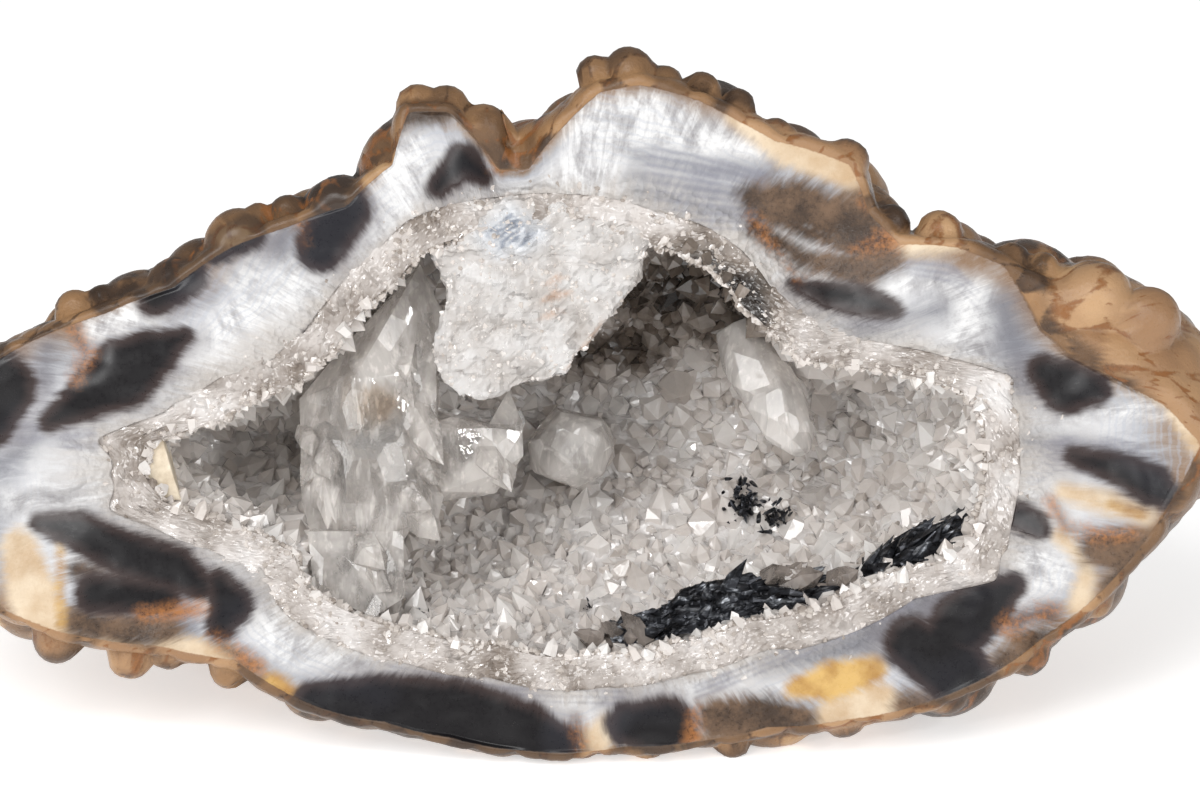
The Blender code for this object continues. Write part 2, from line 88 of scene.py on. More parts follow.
# %% Outlines, swells and lumps
BODY_OUTLINE = (
    (53.4, 0.0), (52.2, 6.0), (49.0, 9.8), (45.0, 12.2), (40.0, 13.2), (35.5, 13.4), (31.0, 15.4),
    (26.0, 15.8), (23.0, 18.2), (21.8, 22.6), (15.0, 24.6), (12.5, 26.2), (8.5, 28.0), (3.5, 29.6),
    (-0.8, 28.8), (-4.0, 26.2), (-8.5, 24.8), (-12.0, 26.6), (-16.6, 26.8), (-18.4, 21.6),
    (-22.0, 18.8), (-27.0, 17.2), (-31.0, 15.8), (-36.0, 12.2), (-41.0, 10.0), (-47.0, 7.8),
    (-53.0, 4.6), (-57.0, -1.0), (-57.4, -8.0), (-54.6, -13.6), (-50.0, -16.8), (-45.5, -18.8),
    (-37.0, -20.0), (-31.0, -21.2), (-24.0, -25.2), (-18.0, -26.4), (-12.5, -27.6), (-6.0, -28.6),
    (2.0, -28.4), (8.0, -27.8), (14.0, -26.8), (20.5, -26.2), (27.0, -25.0), (33.0, -22.6),
    (37.5, -19.8), (42.0, -16.0), (45.5, -12.0), (50.5, -6.6),
)
FACE_OUTLINE = (
    (50.0, -2.0), (47.0, 1.2), (42.6, 3.4), (38.8, 5.4), (36.5, 7.5), (35.3, 10.0), (33.6, 12.8),
    (29.5, 14.4), (25.0, 14.6), (22.5, 17.0), (20.8, 21.2), (14.5, 23.2), (11.5, 24.8), (8.0, 26.6),
    (3.3, 27.8), (0.0, 27.2), (-3.0, 24.4), (-6.0, 20.8), (-8.5, 20.8), (-10.5, 23.6),
    (-12.5, 25.6), (-15.9, 25.6), (-17.2, 21.2), (-21.0, 17.8), (-26.0, 16.0), (-30.5, 14.4),
    (-35.5, 11.0), (-41.0, 8.9), (-47.0, 6.7), (-52.4, 3.6), (-55.5, -1.0), (-56.0, -7.0),
    (-53.6, -12.6), (-49.5, -15.8), (-45.0, -17.6), (-36.5, -18.9), (-30.5, -20.0), (-23.5, -24.0),
    (-18.0, -25.2), (-12.5, -26.5), (-6.0, -27.6), (2.0, -27.2), (8.0, -26.8), (14.0, -25.6),
    (20.5, -25.0), (26.5, -23.8), (32.3, -21.4), (36.6, -18.6), (41.0, -15.0), (44.6, -11.2),
)
HOLLOW_OUTLINE = (
    (32.0, 0.0), (30.0, 2.6), (24.5, 3.9), (20.0, 4.6), (17.0, 4.9), (14.0, 7.6), (12.0, 9.4),
    (10.0, 12.0), (7.5, 13.6), (3.4, 14.8), (-3.0, 16.0), (-8.0, 15.8), (-14.5, 14.2),
    (-17.0, 11.5), (-19.0, 10.0), (-22.0, 6.0), (-25.0, 3.2), (-31.5, 0.0), (-37.6, -2.0),
    (-38.0, -4.6), (-36.5, -6.8), (-32.0, -8.2), (-28.5, -9.5), (-25.6, -11.0), (-24.5, -14.0),
    (-20.0, -16.4), (-15.0, -17.7), (-8.5, -18.8), (0.0, -19.5), (6.0, -18.7), (12.0, -16.8),
    (17.0, -16.0), (20.5, -14.8), (24.5, -12.6), (28.5, -12.0), (31.0, -10.0), (32.2, -5.0),
)
FACE_RELIEF = (
    (18.0, 15.0, 5.5, -2.2), (-7.5, 22.0, 3.0, -2.4), (-46.5, -14.0, 4.5, 1.6), (37.0, -12.0, 4.0, 1.4),
    (36.5, -16.6, 2.4, -2.0), (4.0, 22.0, 6.0, 1.0), (-43.3, 5.5, 2.0, -1.0), (41.0, 0.5, 4.0, 0.8),
    (-16.0, 19.0, 4.5, 1.2), (-44.0, -4.3, 3.0, -0.8), (27.0, 8.5, 4.5, 0.8), (0.0, -22.5, 9.0, 0.6),
    (-55.0, -5.0, 9.0, -1.6), (-30.0, 8.0, 6.0, 0.7), (24.0, -18.0, 7.0, 0.5),
)
EDGE_LUMPS = (
    (-44.0, 9.3, 1.7), (-41.8, 10.1, 1.3), (-39.6, 11.0, 1.0), (-35.6, 11.4, 2.3), (-30.3, 15.0, 2.8),
    (-28.6, 17.1, 1.2), (-26.2, 17.4, 1.5), (-21.9, 17.5, 3.0), (-15.3, 26.5, 1.7), (-12.8, 26.4, 1.7),
    (-9.6, 24.4, 2.1), (-9.5, 21.6, 2.1), (-0.4, 28.9, 1.7), (2.4, 29.1, 2.2), (5.4, 28.3, 1.4),
    (8.6, 27.6, 1.5), (11.5, 26.4, 1.4), (14.8, 23.5, 1.6), (20.6, 21.7, 1.7), (24.6, 16.5, 1.5),
    (28.5, 15.7, 2.0), (34.6, 13.4, 1.4), (37.0, 12.6, 1.3), (41.5, 10.2, 3.2), (46.0, 8.4, 2.8),
    (41.5, -15.0, 1.6), (36.0, -19.9, 1.7), (29.0, -22.8, 2.0), (20.5, -24.9, 1.8), (11.2, -27.3, 1.4),
    (4.0, -26.9, 1.8), (-31.3, -21.3, 1.5), (-36.4, -19.6, 1.6), (-39.5, -20.2, 1.9), (-45.7, -18.7, 2.0),
    (-51.5, 2.4, 2.6), (-55.0, -9.0, 3.0),
)


def polar_radius(outline):
    points = np.array(outline) - CENTRE
    angles = np.arctan2(points[:, 1], points[:, 0])
    order = np.argsort(angles)
    radii = np.hypot(points[:, 0], points[:, 1])
    return lambda angle: np.interp(angle, angles[order], radii[order], period=2 * math.pi)


body_radius = polar_radius(BODY_OUTLINE)
face_radius = polar_radius(FACE_OUTLINE)
hollow_radius = polar_radius(HOLLOW_OUTLINE)
print("the face is", round(np.ptp(np.array(FACE_OUTLINE)[:, 0]), 1), "mm wide")

# %% [markdown]
# ## The surfaces of the shell
# The outside is a deep rounded bowl with balls standing on it, the way chalcedony grows in small domes. The
# hollow is a second bowl inside it. Both are functions of an angle round the face and a share of the way
# across, so a ball of any fineness can be wrapped onto them.

# %% Surface of the hollow and of the rind
CRUST_THICKNESS = 2.1
CRUST_GAP = 0.7
SHELL_DEPTH = 40.0
HOLLOW_DEPTH = 24.0
BELLY_DEPTH = 7.0
BELLY_SHARE = 0.8
BACK_ROUNDNESS = 2.6
UNDERSIDE_RISE = 0.15
TOP_FALL = 0.12
HALF_HEIGHT = 28.0
SMOOTHING_TURNS = (-0.36, -0.24, -0.12, 0.0, 0.12, 0.24, 0.36)
RELIEF_FADE = 5.0
EDGE_LUMP_DEPTH = 2.5
BACK_LUMPS = 120
BACK_LUMP_RADII = (3.6, 6.0)
LUMP_SINK = 0.5
SCATTER_SEED = 7
SCATTER_TRIES = 24
REST_CLEARANCE = 0.7


def wall_radius(angle, inset):
    step = 0.05
    radius = hollow_radius(angle)
    slope = (hollow_radius(angle + step) - hollow_radius(angle - step)) / (2 * step * radius)
    slant = np.minimum(np.hypot(1, slope), 1.8)
    return radius + (CRUST_THICKNESS + CRUST_GAP - inset) * slant


def even_angles(turns):
    angle = np.linspace(-math.pi, math.pi, 1441)
    radius = body_radius(angle)
    steps = np.hypot(np.diff(radius * np.cos(angle)), np.diff(radius * np.sin(angle)))
    length = np.concatenate([[0], np.cumsum(steps)])
    return np.interp(turns, length / length[-1], angle)


def rounded(turn, roundness):
    side, depth = np.sin(turn * math.pi / 2), np.cos(turn * math.pi / 2)
    size = (side**roundness + depth**roundness) ** (-1 / roundness)
    return side * size, depth * size


def at(angle, radius, w, rise=0.0):
    u = CENTRE[0] + radius * np.cos(angle)
    v = CENTRE[1] + radius * np.sin(angle) + rise
    return np.stack([u, v, w + 0 * u], -1)


def with_relief(points):
    points = points.copy()
    fade = np.exp(-((points[..., 2] / RELIEF_FADE) ** 2))
    for u, v, reach, height in FACE_RELIEF:
        away = (points[..., 0] - u) ** 2 + (points[..., 1] - v) ** 2
        points[..., 2] += height * fade * np.exp(-away / reach**2)
    return points


def rind_base(angle, share):
    body, face = body_radius(angle), face_radius(angle)
    belly = BELLY_DEPTH + 0.4 * np.maximum(body - face - 1.5, 0)
    plain = np.mean([body_radius(angle + turn) for turn in SMOOTHING_TURNS], axis=0)
    detail = np.clip((share - 0.45) / 0.3, 0, 1)
    body = plain + (body - plain) * detail
    side, depth = rounded(np.clip(share / BELLY_SHARE, 0, 1), BACK_ROUNDNESS)
    back_w = -belly - (SHELL_DEPTH - belly) * depth
    fold = np.clip((share - BELLY_SHARE) / (1 - BELLY_SHARE), 0, 1) * math.pi / 2
    radius = np.where(share < BELLY_SHARE, body * side, face + (body - face) * np.cos(fold))
    w = np.where(share < BELLY_SHARE, back_w, -belly * (1 - np.sin(fold)))
    upward = 0.5 + 0.5 * np.clip(radius * np.sin(angle) / HALF_HEIGHT, -1, 1)
    tilt = UNDERSIDE_RISE * (1 - upward) - TOP_FALL * upward
    points = with_relief(at(angle, radius, w, rise=-tilt * w))
    world = rim_to_world(points)
    world[..., 2] = np.maximum(world[..., 2], REST_CLEARANCE * MM)
    return world_to_rim(world)


def rind_normal(angle, share):
    step = 0.02
    share = np.clip(share, step, 1 - step)
    round_it = rind_base(angle + step, share) - rind_base(angle - step, share)
    across_it = rind_base(angle, share + step) - rind_base(angle, share - step)
    normal = np.cross(round_it, across_it)
    return normal / np.linalg.norm(normal, axis=-1, keepdims=True)


def back_lumps():
    chance = random.Random(SCATTER_SEED)
    centres, radii = [], []
    for _ in range(BACK_LUMPS):
        tries = []
        for _ in range(SCATTER_TRIES):
            tries.append((chance.uniform(-math.pi, math.pi), chance.uniform(0, 0.72)))
        angles, spreads = np.array(tries).T
        points = rind_base(angles, np.sqrt(spreads))
        rooms = np.min([np.linalg.norm(points - other, axis=1) for other in centres or [0 * points]], axis=0)
        best = int(np.argmax(rooms))
        share = math.sqrt(spreads[best])
        radius = chance.uniform(*BACK_LUMP_RADII) * (1 - 0.5 * share**4)
        normal = rind_normal(angles[best], share)
        centres.append(points[best] - normal * radius * LUMP_SINK)
        radii.append(radius)
    return centres, radii


def hollow_surface(angle, share, inset):
    upward = np.sin(angle)
    side, depth = rounded(1 - share, 2.3 + 0.6 * upward)
    undercut = 2.6 * np.maximum(upward, 0) * np.sin(math.pi * share) * (1 - share)
    radius = wall_radius(angle, inset) * side + undercut
    w = -(HOLLOW_DEPTH + CRUST_THICKNESS + CRUST_GAP - inset) * depth
    return with_relief(at(angle, radius, w, rise=1.5 * share))


# %% [markdown]
# ## Markings as brush strokes
# Dark chalcedony, white feathering, amber and rust are only colour, so they are never raised. Each marking
# is a short brush stroke: a few places on the face with the stroke's half width there. The distance inside
# a stroke, in millimetres, is stored on the mesh, and the shader feathers it with noise. That keeps an edge
# crisp at any size, which painted vertices would not.

# %% Strokes: u, v, half width
def fan(rows, *knots):
    """Strokes side by side. A knot is u, v, half width, and how far it steps right and down in each row."""
    return [
        tuple((u + right * row, v - down * row, half) for u, v, half, right, down in knots)
        for row in range(rows)
    ]


STROKES = {
    "dark": (
        ((-51.0, 5.2, 1.6), (-49.8, 2.8, 2.5), (-51.0, -0.6, 1.6)),
        ((-46.0, -0.2, 0.5), (-42.8, 1.8, 1.6), (-39.8, 3.8, 2.7), (-37.4, 5.4, 1.9), (-34.6, 7.0, 0.5)),
        ((-37.0, 10.2, 1.3), (-34.4, 12.0, 1.5)),
        ((-31.8, 14.4, 1.1), (-29.3, 15.6, 1.2)),
        ((-23.2, 14.4, 1.8), (-21.2, 17.6, 2.0)),
        ((-13.4, 19.4, 0.7), (-11.4, 21.6, 1.2), (-9.6, 20.4, 0.6)),
        ((16.2, 11.4, 0.4), (19.0, 10.6, 1.0), (22.0, 9.9, 1.0), (24.4, 9.2, 0.5)),
        ((37.0, 4.0, 1.2), (38.8, 2.8, 2.0), (41.0, 2.6, 1.2)),
        ((39.4, -3.0, 0.5), (43.0, -4.0, 1.0), (46.0, -5.4, 1.5), (47.2, -6.2, 1.0)),
        ((35.0, -8.0, 0.9), (36.4, -8.8, 0.8)),
        ((27.0, -18.8, 0.8), (30.2, -17.0, 2.4), (32.2, -15.4, 2.1), (34.4, -13.8, 0.8)),
        ((26.0, -18.6, 2.0), (29.6, -21.0, 2.6), (32.0, -22.2, 1.4)),
        ((2.4, -25.4, 1.6), (5.4, -25.6, 2.3)),
        ((-23.8, -23.6, 1.5), (-18.5, -24.4, 2.9), (-12.0, -25.0, 3.1), (-6.5, -26.2, 2.5),
         (-3.2, -27.0, 1.3)),
        ((-46.8, -8.6, 0.5), (-43.5, -9.2, 1.3), (-39.5, -11.2, 1.6), (-35.5, -12.4, 1.7),
         (-33.2, -13.8, 0.9)),
        ((-42.0, -14.4, 1.4), (-39.6, -14.6, 1.3), (-36.4, -14.8, 1.1)),
        ((-31.8, -13.6, 0.9), (-30.8, -15.4, 1.6), (-31.6, -17.0, 1.0)),
        ((-23.8, 6.8, 0.6), (-20.6, 9.0, 0.7)),
    ),
    "grey": (
        ((-46.0, 6.0, 0.8), (-46.4, 3.0, 0.8)),
        ((-46.0, 1.0, 0.2), (-47.6, -1.8, 0.8), (-50.0, -4.0, 1.2)),
        ((-26.6, 14.6, 1.1), (-26.0, 16.4, 1.2)),
        ((33.6, 9.4, 1.2), (34.6, 6.0, 1.8), (35.4, 3.4, 1.2)),
        ((14.0, -20.6, 0.3), (20.0, -19.2, 1.2), (26.6, -16.4, 2.4), (31.0, -13.4, 1.8)),
        ((3.0, 21.8, 0.3), (8.0, 20.9, 0.5), (14.0, 20.2, 0.8)),
        ((2.6, 20.4, 0.3), (8.0, 19.2, 0.5), (14.0, 18.6, 0.8)),
        ((3.0, 19.2, 0.2), (9.0, 17.6, 0.5), (14.0, 17.0, 0.8)),
        ((21.4, 7.8, 0.8), (24.4, 8.4, 0.7), (28.4, 9.2, 0.5)),
        ((36.0, -1.8, 0.4), (42.0, -2.4, 0.6), (46.6, -3.8, 0.6)),
        ((-35.0, -15.0, 1.0), (-34.6, -17.6, 1.2)),
        ((-52.0, -8.0, 2.0), (-53.0, -4.0, 2.0)),
    ),
    "line": (
        *((
            (0.4 + 0.5 * (row % 3), 22.4 - 0.64 * row, -0.5), (4.0, 22.6 - 0.7 * row, 0.1),
            (8.0, 21.9 - 0.66 * row, 0.2), (13.5, 20.4 - 0.5 * row, 0.3),
        ) for row in range(10)),
        *fan(6, (33.2, -3.6, -0.3, 0.3, 0.5), (38.0, -1.6, 0.16, 0, 0.52), (42.4, -1.5, 0.18, 0, 0.55),
             (46.6, -2.6, -0.2, 0, 0.6)),
        *fan(4, (-9.8, 16.4, 0.05, 0, 0.45), (-7.4, 16.9, 0.12, 0, 0.5), (-5.2, 16.2, 0.05, 0, 0.4)),
        *fan(4, (-42.0, -1.0, 0.05, 0, 0.5), (-48.0, -0.4, 0.12, 0, 0.5), (-54.0, -0.8, 0.12, 0, 0.6)),
        *fan(3, (25.0, 13.2, 0.05, 0.4, 0.5), (29.0, 12.8, 0.12, 0, 0.6), (31.6, 10.6, 0.1, 0, 0.7)),
        *fan(3, (2.0, -23.6, 0.1, 0, -0.5), (-8.0, -23.4, 0.12, 0, -0.5), (-18.0, -21.4, 0.08, 0, -0.5)),
        *fan(3, (8.0, -23.2, 0.08, 0, -0.5), (16.0, -20.0, 0.14, 0, -0.5), (26.0, -15.4, 0.1, 0, -0.5)),
    ),
    "brown": (
        ((12.5, 18.6, 1.2), (16.5, 17.6, 2.6), (21.0, 16.0, 2.6), (23.5, 13.4, 1.4)),
        ((13.0, 16.0, 0.9), (17.0, 13.6, 1.9), (21.5, 12.6, 2.0), (24.2, 13.4, 1.2)),
        ((13.8, 17.4, 1.2), (18.0, 15.4, 2.0), (22.0, 14.4, 1.8)),
        ((-16.4, 25.4, 1.4), (-13.4, 26.0, 1.4)),
        ((9.6, -24.8, 1.8), (13.5, -25.0, 2.2), (16.5, -25.2, 1.6)),
        ((-43.4, -12.4, 0.9), (-40.0, -12.9, 0.8)),
        ((-43.4, -16.8, 1.4), (-39.0, -17.4, 1.6), (-36.0, -17.4, 1.2)),
        ((41.4, -10.8, 1.6), (45.2, -11.4, 2.2), (43.0, -14.0, 1.2)),
        ((33.2, -20.4, 1.0), (37.0, -18.0, 1.0)),
        ((25.6, -23.8, 1.2), (27.0, -23.8, 1.0)),
    ),
    "white": (
        ((-42.2, 7.6, 0.9), (-39.0, 8.6, 1.3), (-35.6, 9.2, 0.9)),
        ((-29.2, 12.0, 1.5), (-27.8, 15.2, 1.0), (-25.6, 12.8, 1.6)),
        ((-19.6, 13.4, 1.2), (-17.4, 17.0, 2.2), (-16.0, 21.0, 2.2), (-15.6, 24.0, 1.4)),
        ((-13.6, 18.2, 0.5), (-9.0, 19.0, 0.5), (-4.0, 18.6, 0.6), (0.0, 19.0, 0.8)),
        ((-2.4, 19.5, 1.6), (0.5, 23.4, 3.2), (4.0, 24.8, 2.4), (9.0, 23.4, 1.7), (13.0, 22.2, 0.8)),
        ((1.0, 18.4, 1.2), (8.0, 16.6, 1.2), (13.0, 13.4, 1.6), (16.0, 9.2, 1.4), (20.0, 7.0, 1.0)),
        ((24.0, 11.0, 0.7), (28.2, 11.6, 1.0), (31.0, 8.8, 2.6), (31.8, 4.6, 1.9), (34.0, 0.6, 1.4)),
        ((34.5, -0.4, 0.9), (40.0, 0.8, 0.9), (46.8, 1.0, 0.6)),
        ((33.6, -2.6, 1.0), (35.0, -5.6, 1.2), (34.4, -10.6, 1.3), (37.6, -12.8, 1.7)),
        ((-28.0, -16.6, 1.5), (-25.6, -18.8, 1.5), (-20.0, -20.2, 1.0), (-12.0, -21.4, 0.9),
         (-6.0, -22.8, 1.0)),
        ((-6.0, -22.8, 1.0), (-2.0, -22.6, 1.0), (4.0, -21.8, 1.2), (8.0, -22.0, 1.3), (12.0, -19.8, 1.2)),
        ((12.0, -19.8, 1.2), (18.0, -17.6, 1.1), (24.0, -15.0, 1.1), (30.0, -12.4, 1.2), (33.4, -9.4, 1.2)),
        ((-50.0, -7.0, 1.3), (-44.0, -6.4, 1.2), (-38.0, -8.2, 1.4), (-33.0, -10.2, 1.2),
         (-29.0, -12.4, 1.3)),
        ((-50.0, -1.6, 1.0), (-41.0, -1.2, 0.9), (-36.5, 1.8, 0.9), (-33.6, 5.4, 1.1), (-30.0, 9.0, 1.4)),
        ((-30.0, 9.0, 1.4), (-26.0, 10.4, 1.3), (-22.0, 11.6, 1.3)),
    ),
    "cream": (
        ((-48.4, -10.6, 1.6), (-47.2, -14.4, 2.2), (-46.0, -17.8, 1.9)),
        ((-41.0, -19.4, 1.4), (-38.6, -20.2, 1.4)),
        ((-36.0, -19.0, 1.2), (-31.6, -19.8, 1.2)),
        ((11.6, 25.2, 1.0), (15.8, 22.8, 1.7), (20.6, 21.2, 1.9)),
        ((40.5, 10.0, 3.0), (45.0, 8.0, 4.0), (49.5, 4.0, 4.0), (51.0, -1.0, 2.4)),
        ((19.6, -24.8, 1.6), (23.2, -23.6, 1.8)),
        ((-0.4, -26.6, 1.5), (0.6, -25.4, 0.9)),
        ((38.2, -9.6, 0.6), (40.6, -12.0, 0.7), (40.0, -15.4, 1.0)),
        ((38.6, -6.0, 0.7), (42.5, -6.8, 1.1), (45.4, -7.8, 0.9)),
        ((25.4, 14.6, 1.0), (29.0, 15.6, 1.6)),
    ),
    "amber": (
        ((16.2, -22.4, 0.8), (19.4, -21.8, 1.7), (22.8, -20.8, 1.1)),
        ((-27.2, -22.2, 1.0), (-24.4, -23.8, 0.8)),
        ((42.6, -7.0, 0.3), (45.0, -7.8, 0.4)),
        ((-44.9, -10.0, 0.3), (-44.8, -17.0, 0.3)),
        ((-47.6, -18.0, 0.8), (-46.4, -19.6, 0.9)),
    ),
    "rust": (
        ((-43.8, 7.6, 0.5), (-42.8, 5.4, 0.7), (-43.6, 3.6, 0.5)),
        ((-8.2, 21.4, 0.9), (-6.4, 22.6, 1.3), (-5.4, 24.4, 0.9)),
        ((34.4, -16.9, 0.9), (37.6, -16.2, 1.0)),
        ((37.6, -6.8, 0.3), (38.8, -9.0, 0.5), (42.0, -9.6, 0.5), (44.4, -9.4, 0.3)),
        ((12.4, 17.0, 0.4), (14.4, 14.6, 0.6), (16.6, 11.9, 0.4)),
        ((21.0, 14.2, 0.5), (24.4, 15.2, 0.9)),
        ((22.4, 18.2, 0.5), (22.6, 20.2, 0.4)),
        ((-25.0, 16.4, 0.5), (-24.6, 14.8, 0.3)),
        ((-38.0, -16.2, 0.4), (-33.4, -15.8, 0.3)),
        ((-32.0, -18.4, 0.6), (-28.8, -20.6, 0.7)),
        ((-2.0, -25.0, 0.5), (-1.2, -27.6, 0.5)),
        ((7.9, -24.4, 0.3), (7.8, -26.8, 0.4)),
    ),
}


def stroke_distance(points, strokes):
    """How many millimetres inside the nearest stroke each (u, v) is; outside it is below zero."""
    best = np.full(len(points), -50.0)
    for stroke in strokes:
        for start, end in zip(stroke, stroke[1:]):
            start, end = np.array(start), np.array(end)
            along = end[:2] - start[:2]
            share = np.clip((points - start[:2]) @ along / (along @ along), 0, 1)
            away = np.linalg.norm(points - start[:2] - share[:, None] * along, axis=1)
            best = np.maximum(best, start[2] + (end[2] - start[2]) * share - away)
    return best


print(sum(len(strokes) for strokes in STROKES.values()), "strokes in", len(STROKES), "colours")

# %% [markdown]
# ## Helpers for meshes
# Every piece goes the same way into the scene: its mesh is made where the piece is, it gets a material, and
# it rides on the one body of the stone. A grid rolled into a ball, with its seam and poles welded, is
# wrapped onto the surfaces above.

# %% Wrap a ball and put a piece in place
def wrapped_ball(columns, rows, place):
    """A closed ball whose points go to place(angle, row); also gives the angle and row of each point."""
    bm = bmesh.new()
    bmesh.ops.create_grid(bm, x_segments=columns, y_segments=rows, size=1)
    for vert in bm.verts:
        turn, rise = vert.co.x * math.pi, vert.co.y * math.pi / 2
        vert.co = (math.cos(turn) * math.cos(rise), math.sin(turn) * math.cos(rise), math.sin(rise))
    bmesh.ops.remove_doubles(bm, verts=bm.verts, dist=1e-5)
    co = np.array([vert.co for vert in bm.verts])
    turns = np.arctan2(co[:, 1], co[:, 0]) / (2 * math.pi) + 0.5
    row = np.round((np.arcsin(np.clip(co[:, 2], -1, 1)) / math.pi + 0.5) * rows, 2)
    angle = even_angles(turns)
    for vert, point in zip(bm.verts, rim_to_world(place(angle, row))):
        vert.co = point
    bmesh.ops.recalc_face_normals(bm, faces=bm.faces)
    return bm, angle, row


def settle(obj, material, slot, *nodes):
    obj.data.materials.clear()
    obj.data.materials.append(material)
    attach(obj, "root")
    if nodes:
        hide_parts(*nodes)
    obj.data.calc_loop_triangles()
    print(obj.name, len(obj.data.loop_triangles), "triangles")
    return obj


SEEDS = {"druse": 11, "edge": 5, "points": 9, "veils": 14, "frost": 3, "needles": 21}


def shake(chance, amount):
    """A small random step, as likely to any side."""
    return Vector([chance.gauss(0, amount) for _ in range(3)])


def to_object(name, bm):
    mesh = bpy.data.meshes.new(name)
    bm.to_mesh(mesh)
    bm.free()
    obj = bpy.data.objects.new(name, mesh)
    bpy.context.scene.collection.objects.link(obj)
    return obj


def store(obj, name, values, kind="FLOAT"):
    made = obj.data.attributes.new(name, kind, "POINT")
    key = "vector" if kind == "FLOAT_VECTOR" else "value"
    made.data.foreach_set(key, np.ascontiguousarray(values, np.float32).ravel())


# %% [markdown]
# ## Helpers for materials
# A node tree reads better as a few plain words: add a node with its inputs, blend two colours by a mask,
# turn a distance into a soft mask, spread a number over a ramp of colours. Each word finds the tree from a
# socket it is given.

# %% Words for node trees
def is_socket(value):
    return isinstance(value, bpy.types.NodeSocket)


def tree_of(*values):
    """The node tree of the first socket among these."""
    return next(value.id_data for value in values if is_socket(value))


def add(tree, kind, inputs=None, **settings):
    made = tree.nodes.new("ShaderNode" + kind)
    for key, value in settings.items():
        setattr(made, key, value)
    for key, value in (inputs or {}).items():
        if is_socket(value):
            tree.links.new(value, made.inputs[key])
        else:
            made.inputs[key].default_value = value
    return made


def number(operation, a, b=0.0, clamp=False):
    return add(tree_of(a, b), "Math", {0: a, 1: b}, operation=operation, use_clamp=clamp).outputs[0]


def times(a, b):
    return number("MULTIPLY", a, b)


def plus(*parts):
    return reduce(lambda a, b: number("ADD", a, b), parts)


def centred(socket):
    return number("SUBTRACT", socket, 0.5)


def vector_math(operation, a, b=(0, 0, 0)):
    key = "Scale" if operation == "SCALE" else 1
    return add(tree_of(a, b), "VectorMath", {0: a, key: b}, operation=operation).outputs[0]


def attribute(tree, name, output="Fac"):
    return add(tree, "Attribute", attribute_name=name).outputs[output]


def soft_mask(value, low, high, bottom=0.0, top=1.0):
    inputs = {"Value": value, "From Min": low, "From Max": high, "To Min": bottom, "To Max": top}
    return add(tree_of(value), "MapRange", inputs, interpolation_type="SMOOTHSTEP").outputs[0]


def blend(mask, below, above):
    below, above = (value if is_socket(value) else (*value, 1) for value in (below, above))
    return add(tree_of(mask), "Mix", {0: mask, 6: below, 7: above}, data_type="RGBA").outputs[2]


def ramp(value, stops):
    made = add(tree_of(value), "ValToRGB", {0: value})
    elements = made.color_ramp.elements
    while len(elements) < len(stops):
        elements.new(0.5)
    for element, (place, colour) in zip(elements, stops):
        element.position = place
        element.color = (*colour, 1)
    return made.outputs[0]


def millimetres(tree):
    return vector_math("SCALE", add(tree, "TexCoord").outputs["Object"], 1 / MM)


def grain(place, scale, detail=4.0, roughness=0.55, distortion=0.0):
    inputs = {"Vector": place, "Scale": scale, "Detail": detail, "Roughness": roughness}
    inputs["Distortion"] = distortion
    return add(tree_of(place), "TexNoise", inputs).outputs["Fac"]


def bump(height, distance, strength=1.0, below=None):
    inputs = {"Height": height, "Distance": distance * MM, "Strength": strength}
    if below is not None:
        inputs["Normal"] = below
    return add(tree_of(height), "Bump", inputs).outputs[0]


def faceted_normal(place, scale, tilt, below):
    """A normal that leans at random from one broken facet to the next."""
    cell = add(tree_of(place), "TexVoronoi", {"Vector": place, "Scale": scale}, feature="F1").outputs["Color"]
    lean = vector_math("SCALE", vector_math("SUBTRACT", cell, (0.5, 0.5, 0.5)), tilt)
    return vector_math("NORMALIZE", vector_math("ADD", below, lean))


def new_material(name):
    material = bpy.data.materials.new(name)
    material.use_nodes = True
    return material, material.node_tree, material.node_tree.nodes["Principled BSDF"]


def wire(shader, **sockets):
    """Set or link the shader's sockets, with an underscore for each space in a name."""
    for key, value in sockets.items():
        socket = shader.inputs[key.replace("_", " ")]
        if is_socket(value):
            shader.id_data.links.new(value, socket)
        elif isinstance(value, tuple):
            socket.default_value = (*value, 1)
        else:
            socket.default_value = value


QUARTZ_IOR = 1.54

# %% [markdown]
# ## The agate half
# On the real stone the wall is one growth: brown lumps outside, then dark lenses of chalcedony, white
# feathery bands and clear quartz towards the hollow. The face of the break is what people look at, so most
# of the rows of the mesh lie on it. Small lumps are cells of a Voronoi pattern raised into domes, between
# the large ones of the frame.

# %% Rows and small lumps of the shell
SHELL_COLUMNS = 600
SHELL_ROWS = 164
RIM_ROW = 84
EDGE_ROW = 152
SMALL_LUMP = 2.5
TINY_LUMP = 1.15


def domes(points, cell, reach):
    """Height of the nearest dome at each point, from 0 to 1, the dome's own random tone, and its crease."""
    height, tone, crease = np.zeros(len(points)), np.zeros(len(points)), np.zeros(len(points))
    for index, point in enumerate(points / cell):
        near, centres = noise.voronoi(Vector(point))
        height[index] = math.sqrt(max(0.0, 1 - (near[0] / reach) ** 2))
        tone[index] = noise.cell(centres[0] * 7.3) * 0.5 + 0.5
        crease[index] = near[1] - near[0]
    return height, tone, crease


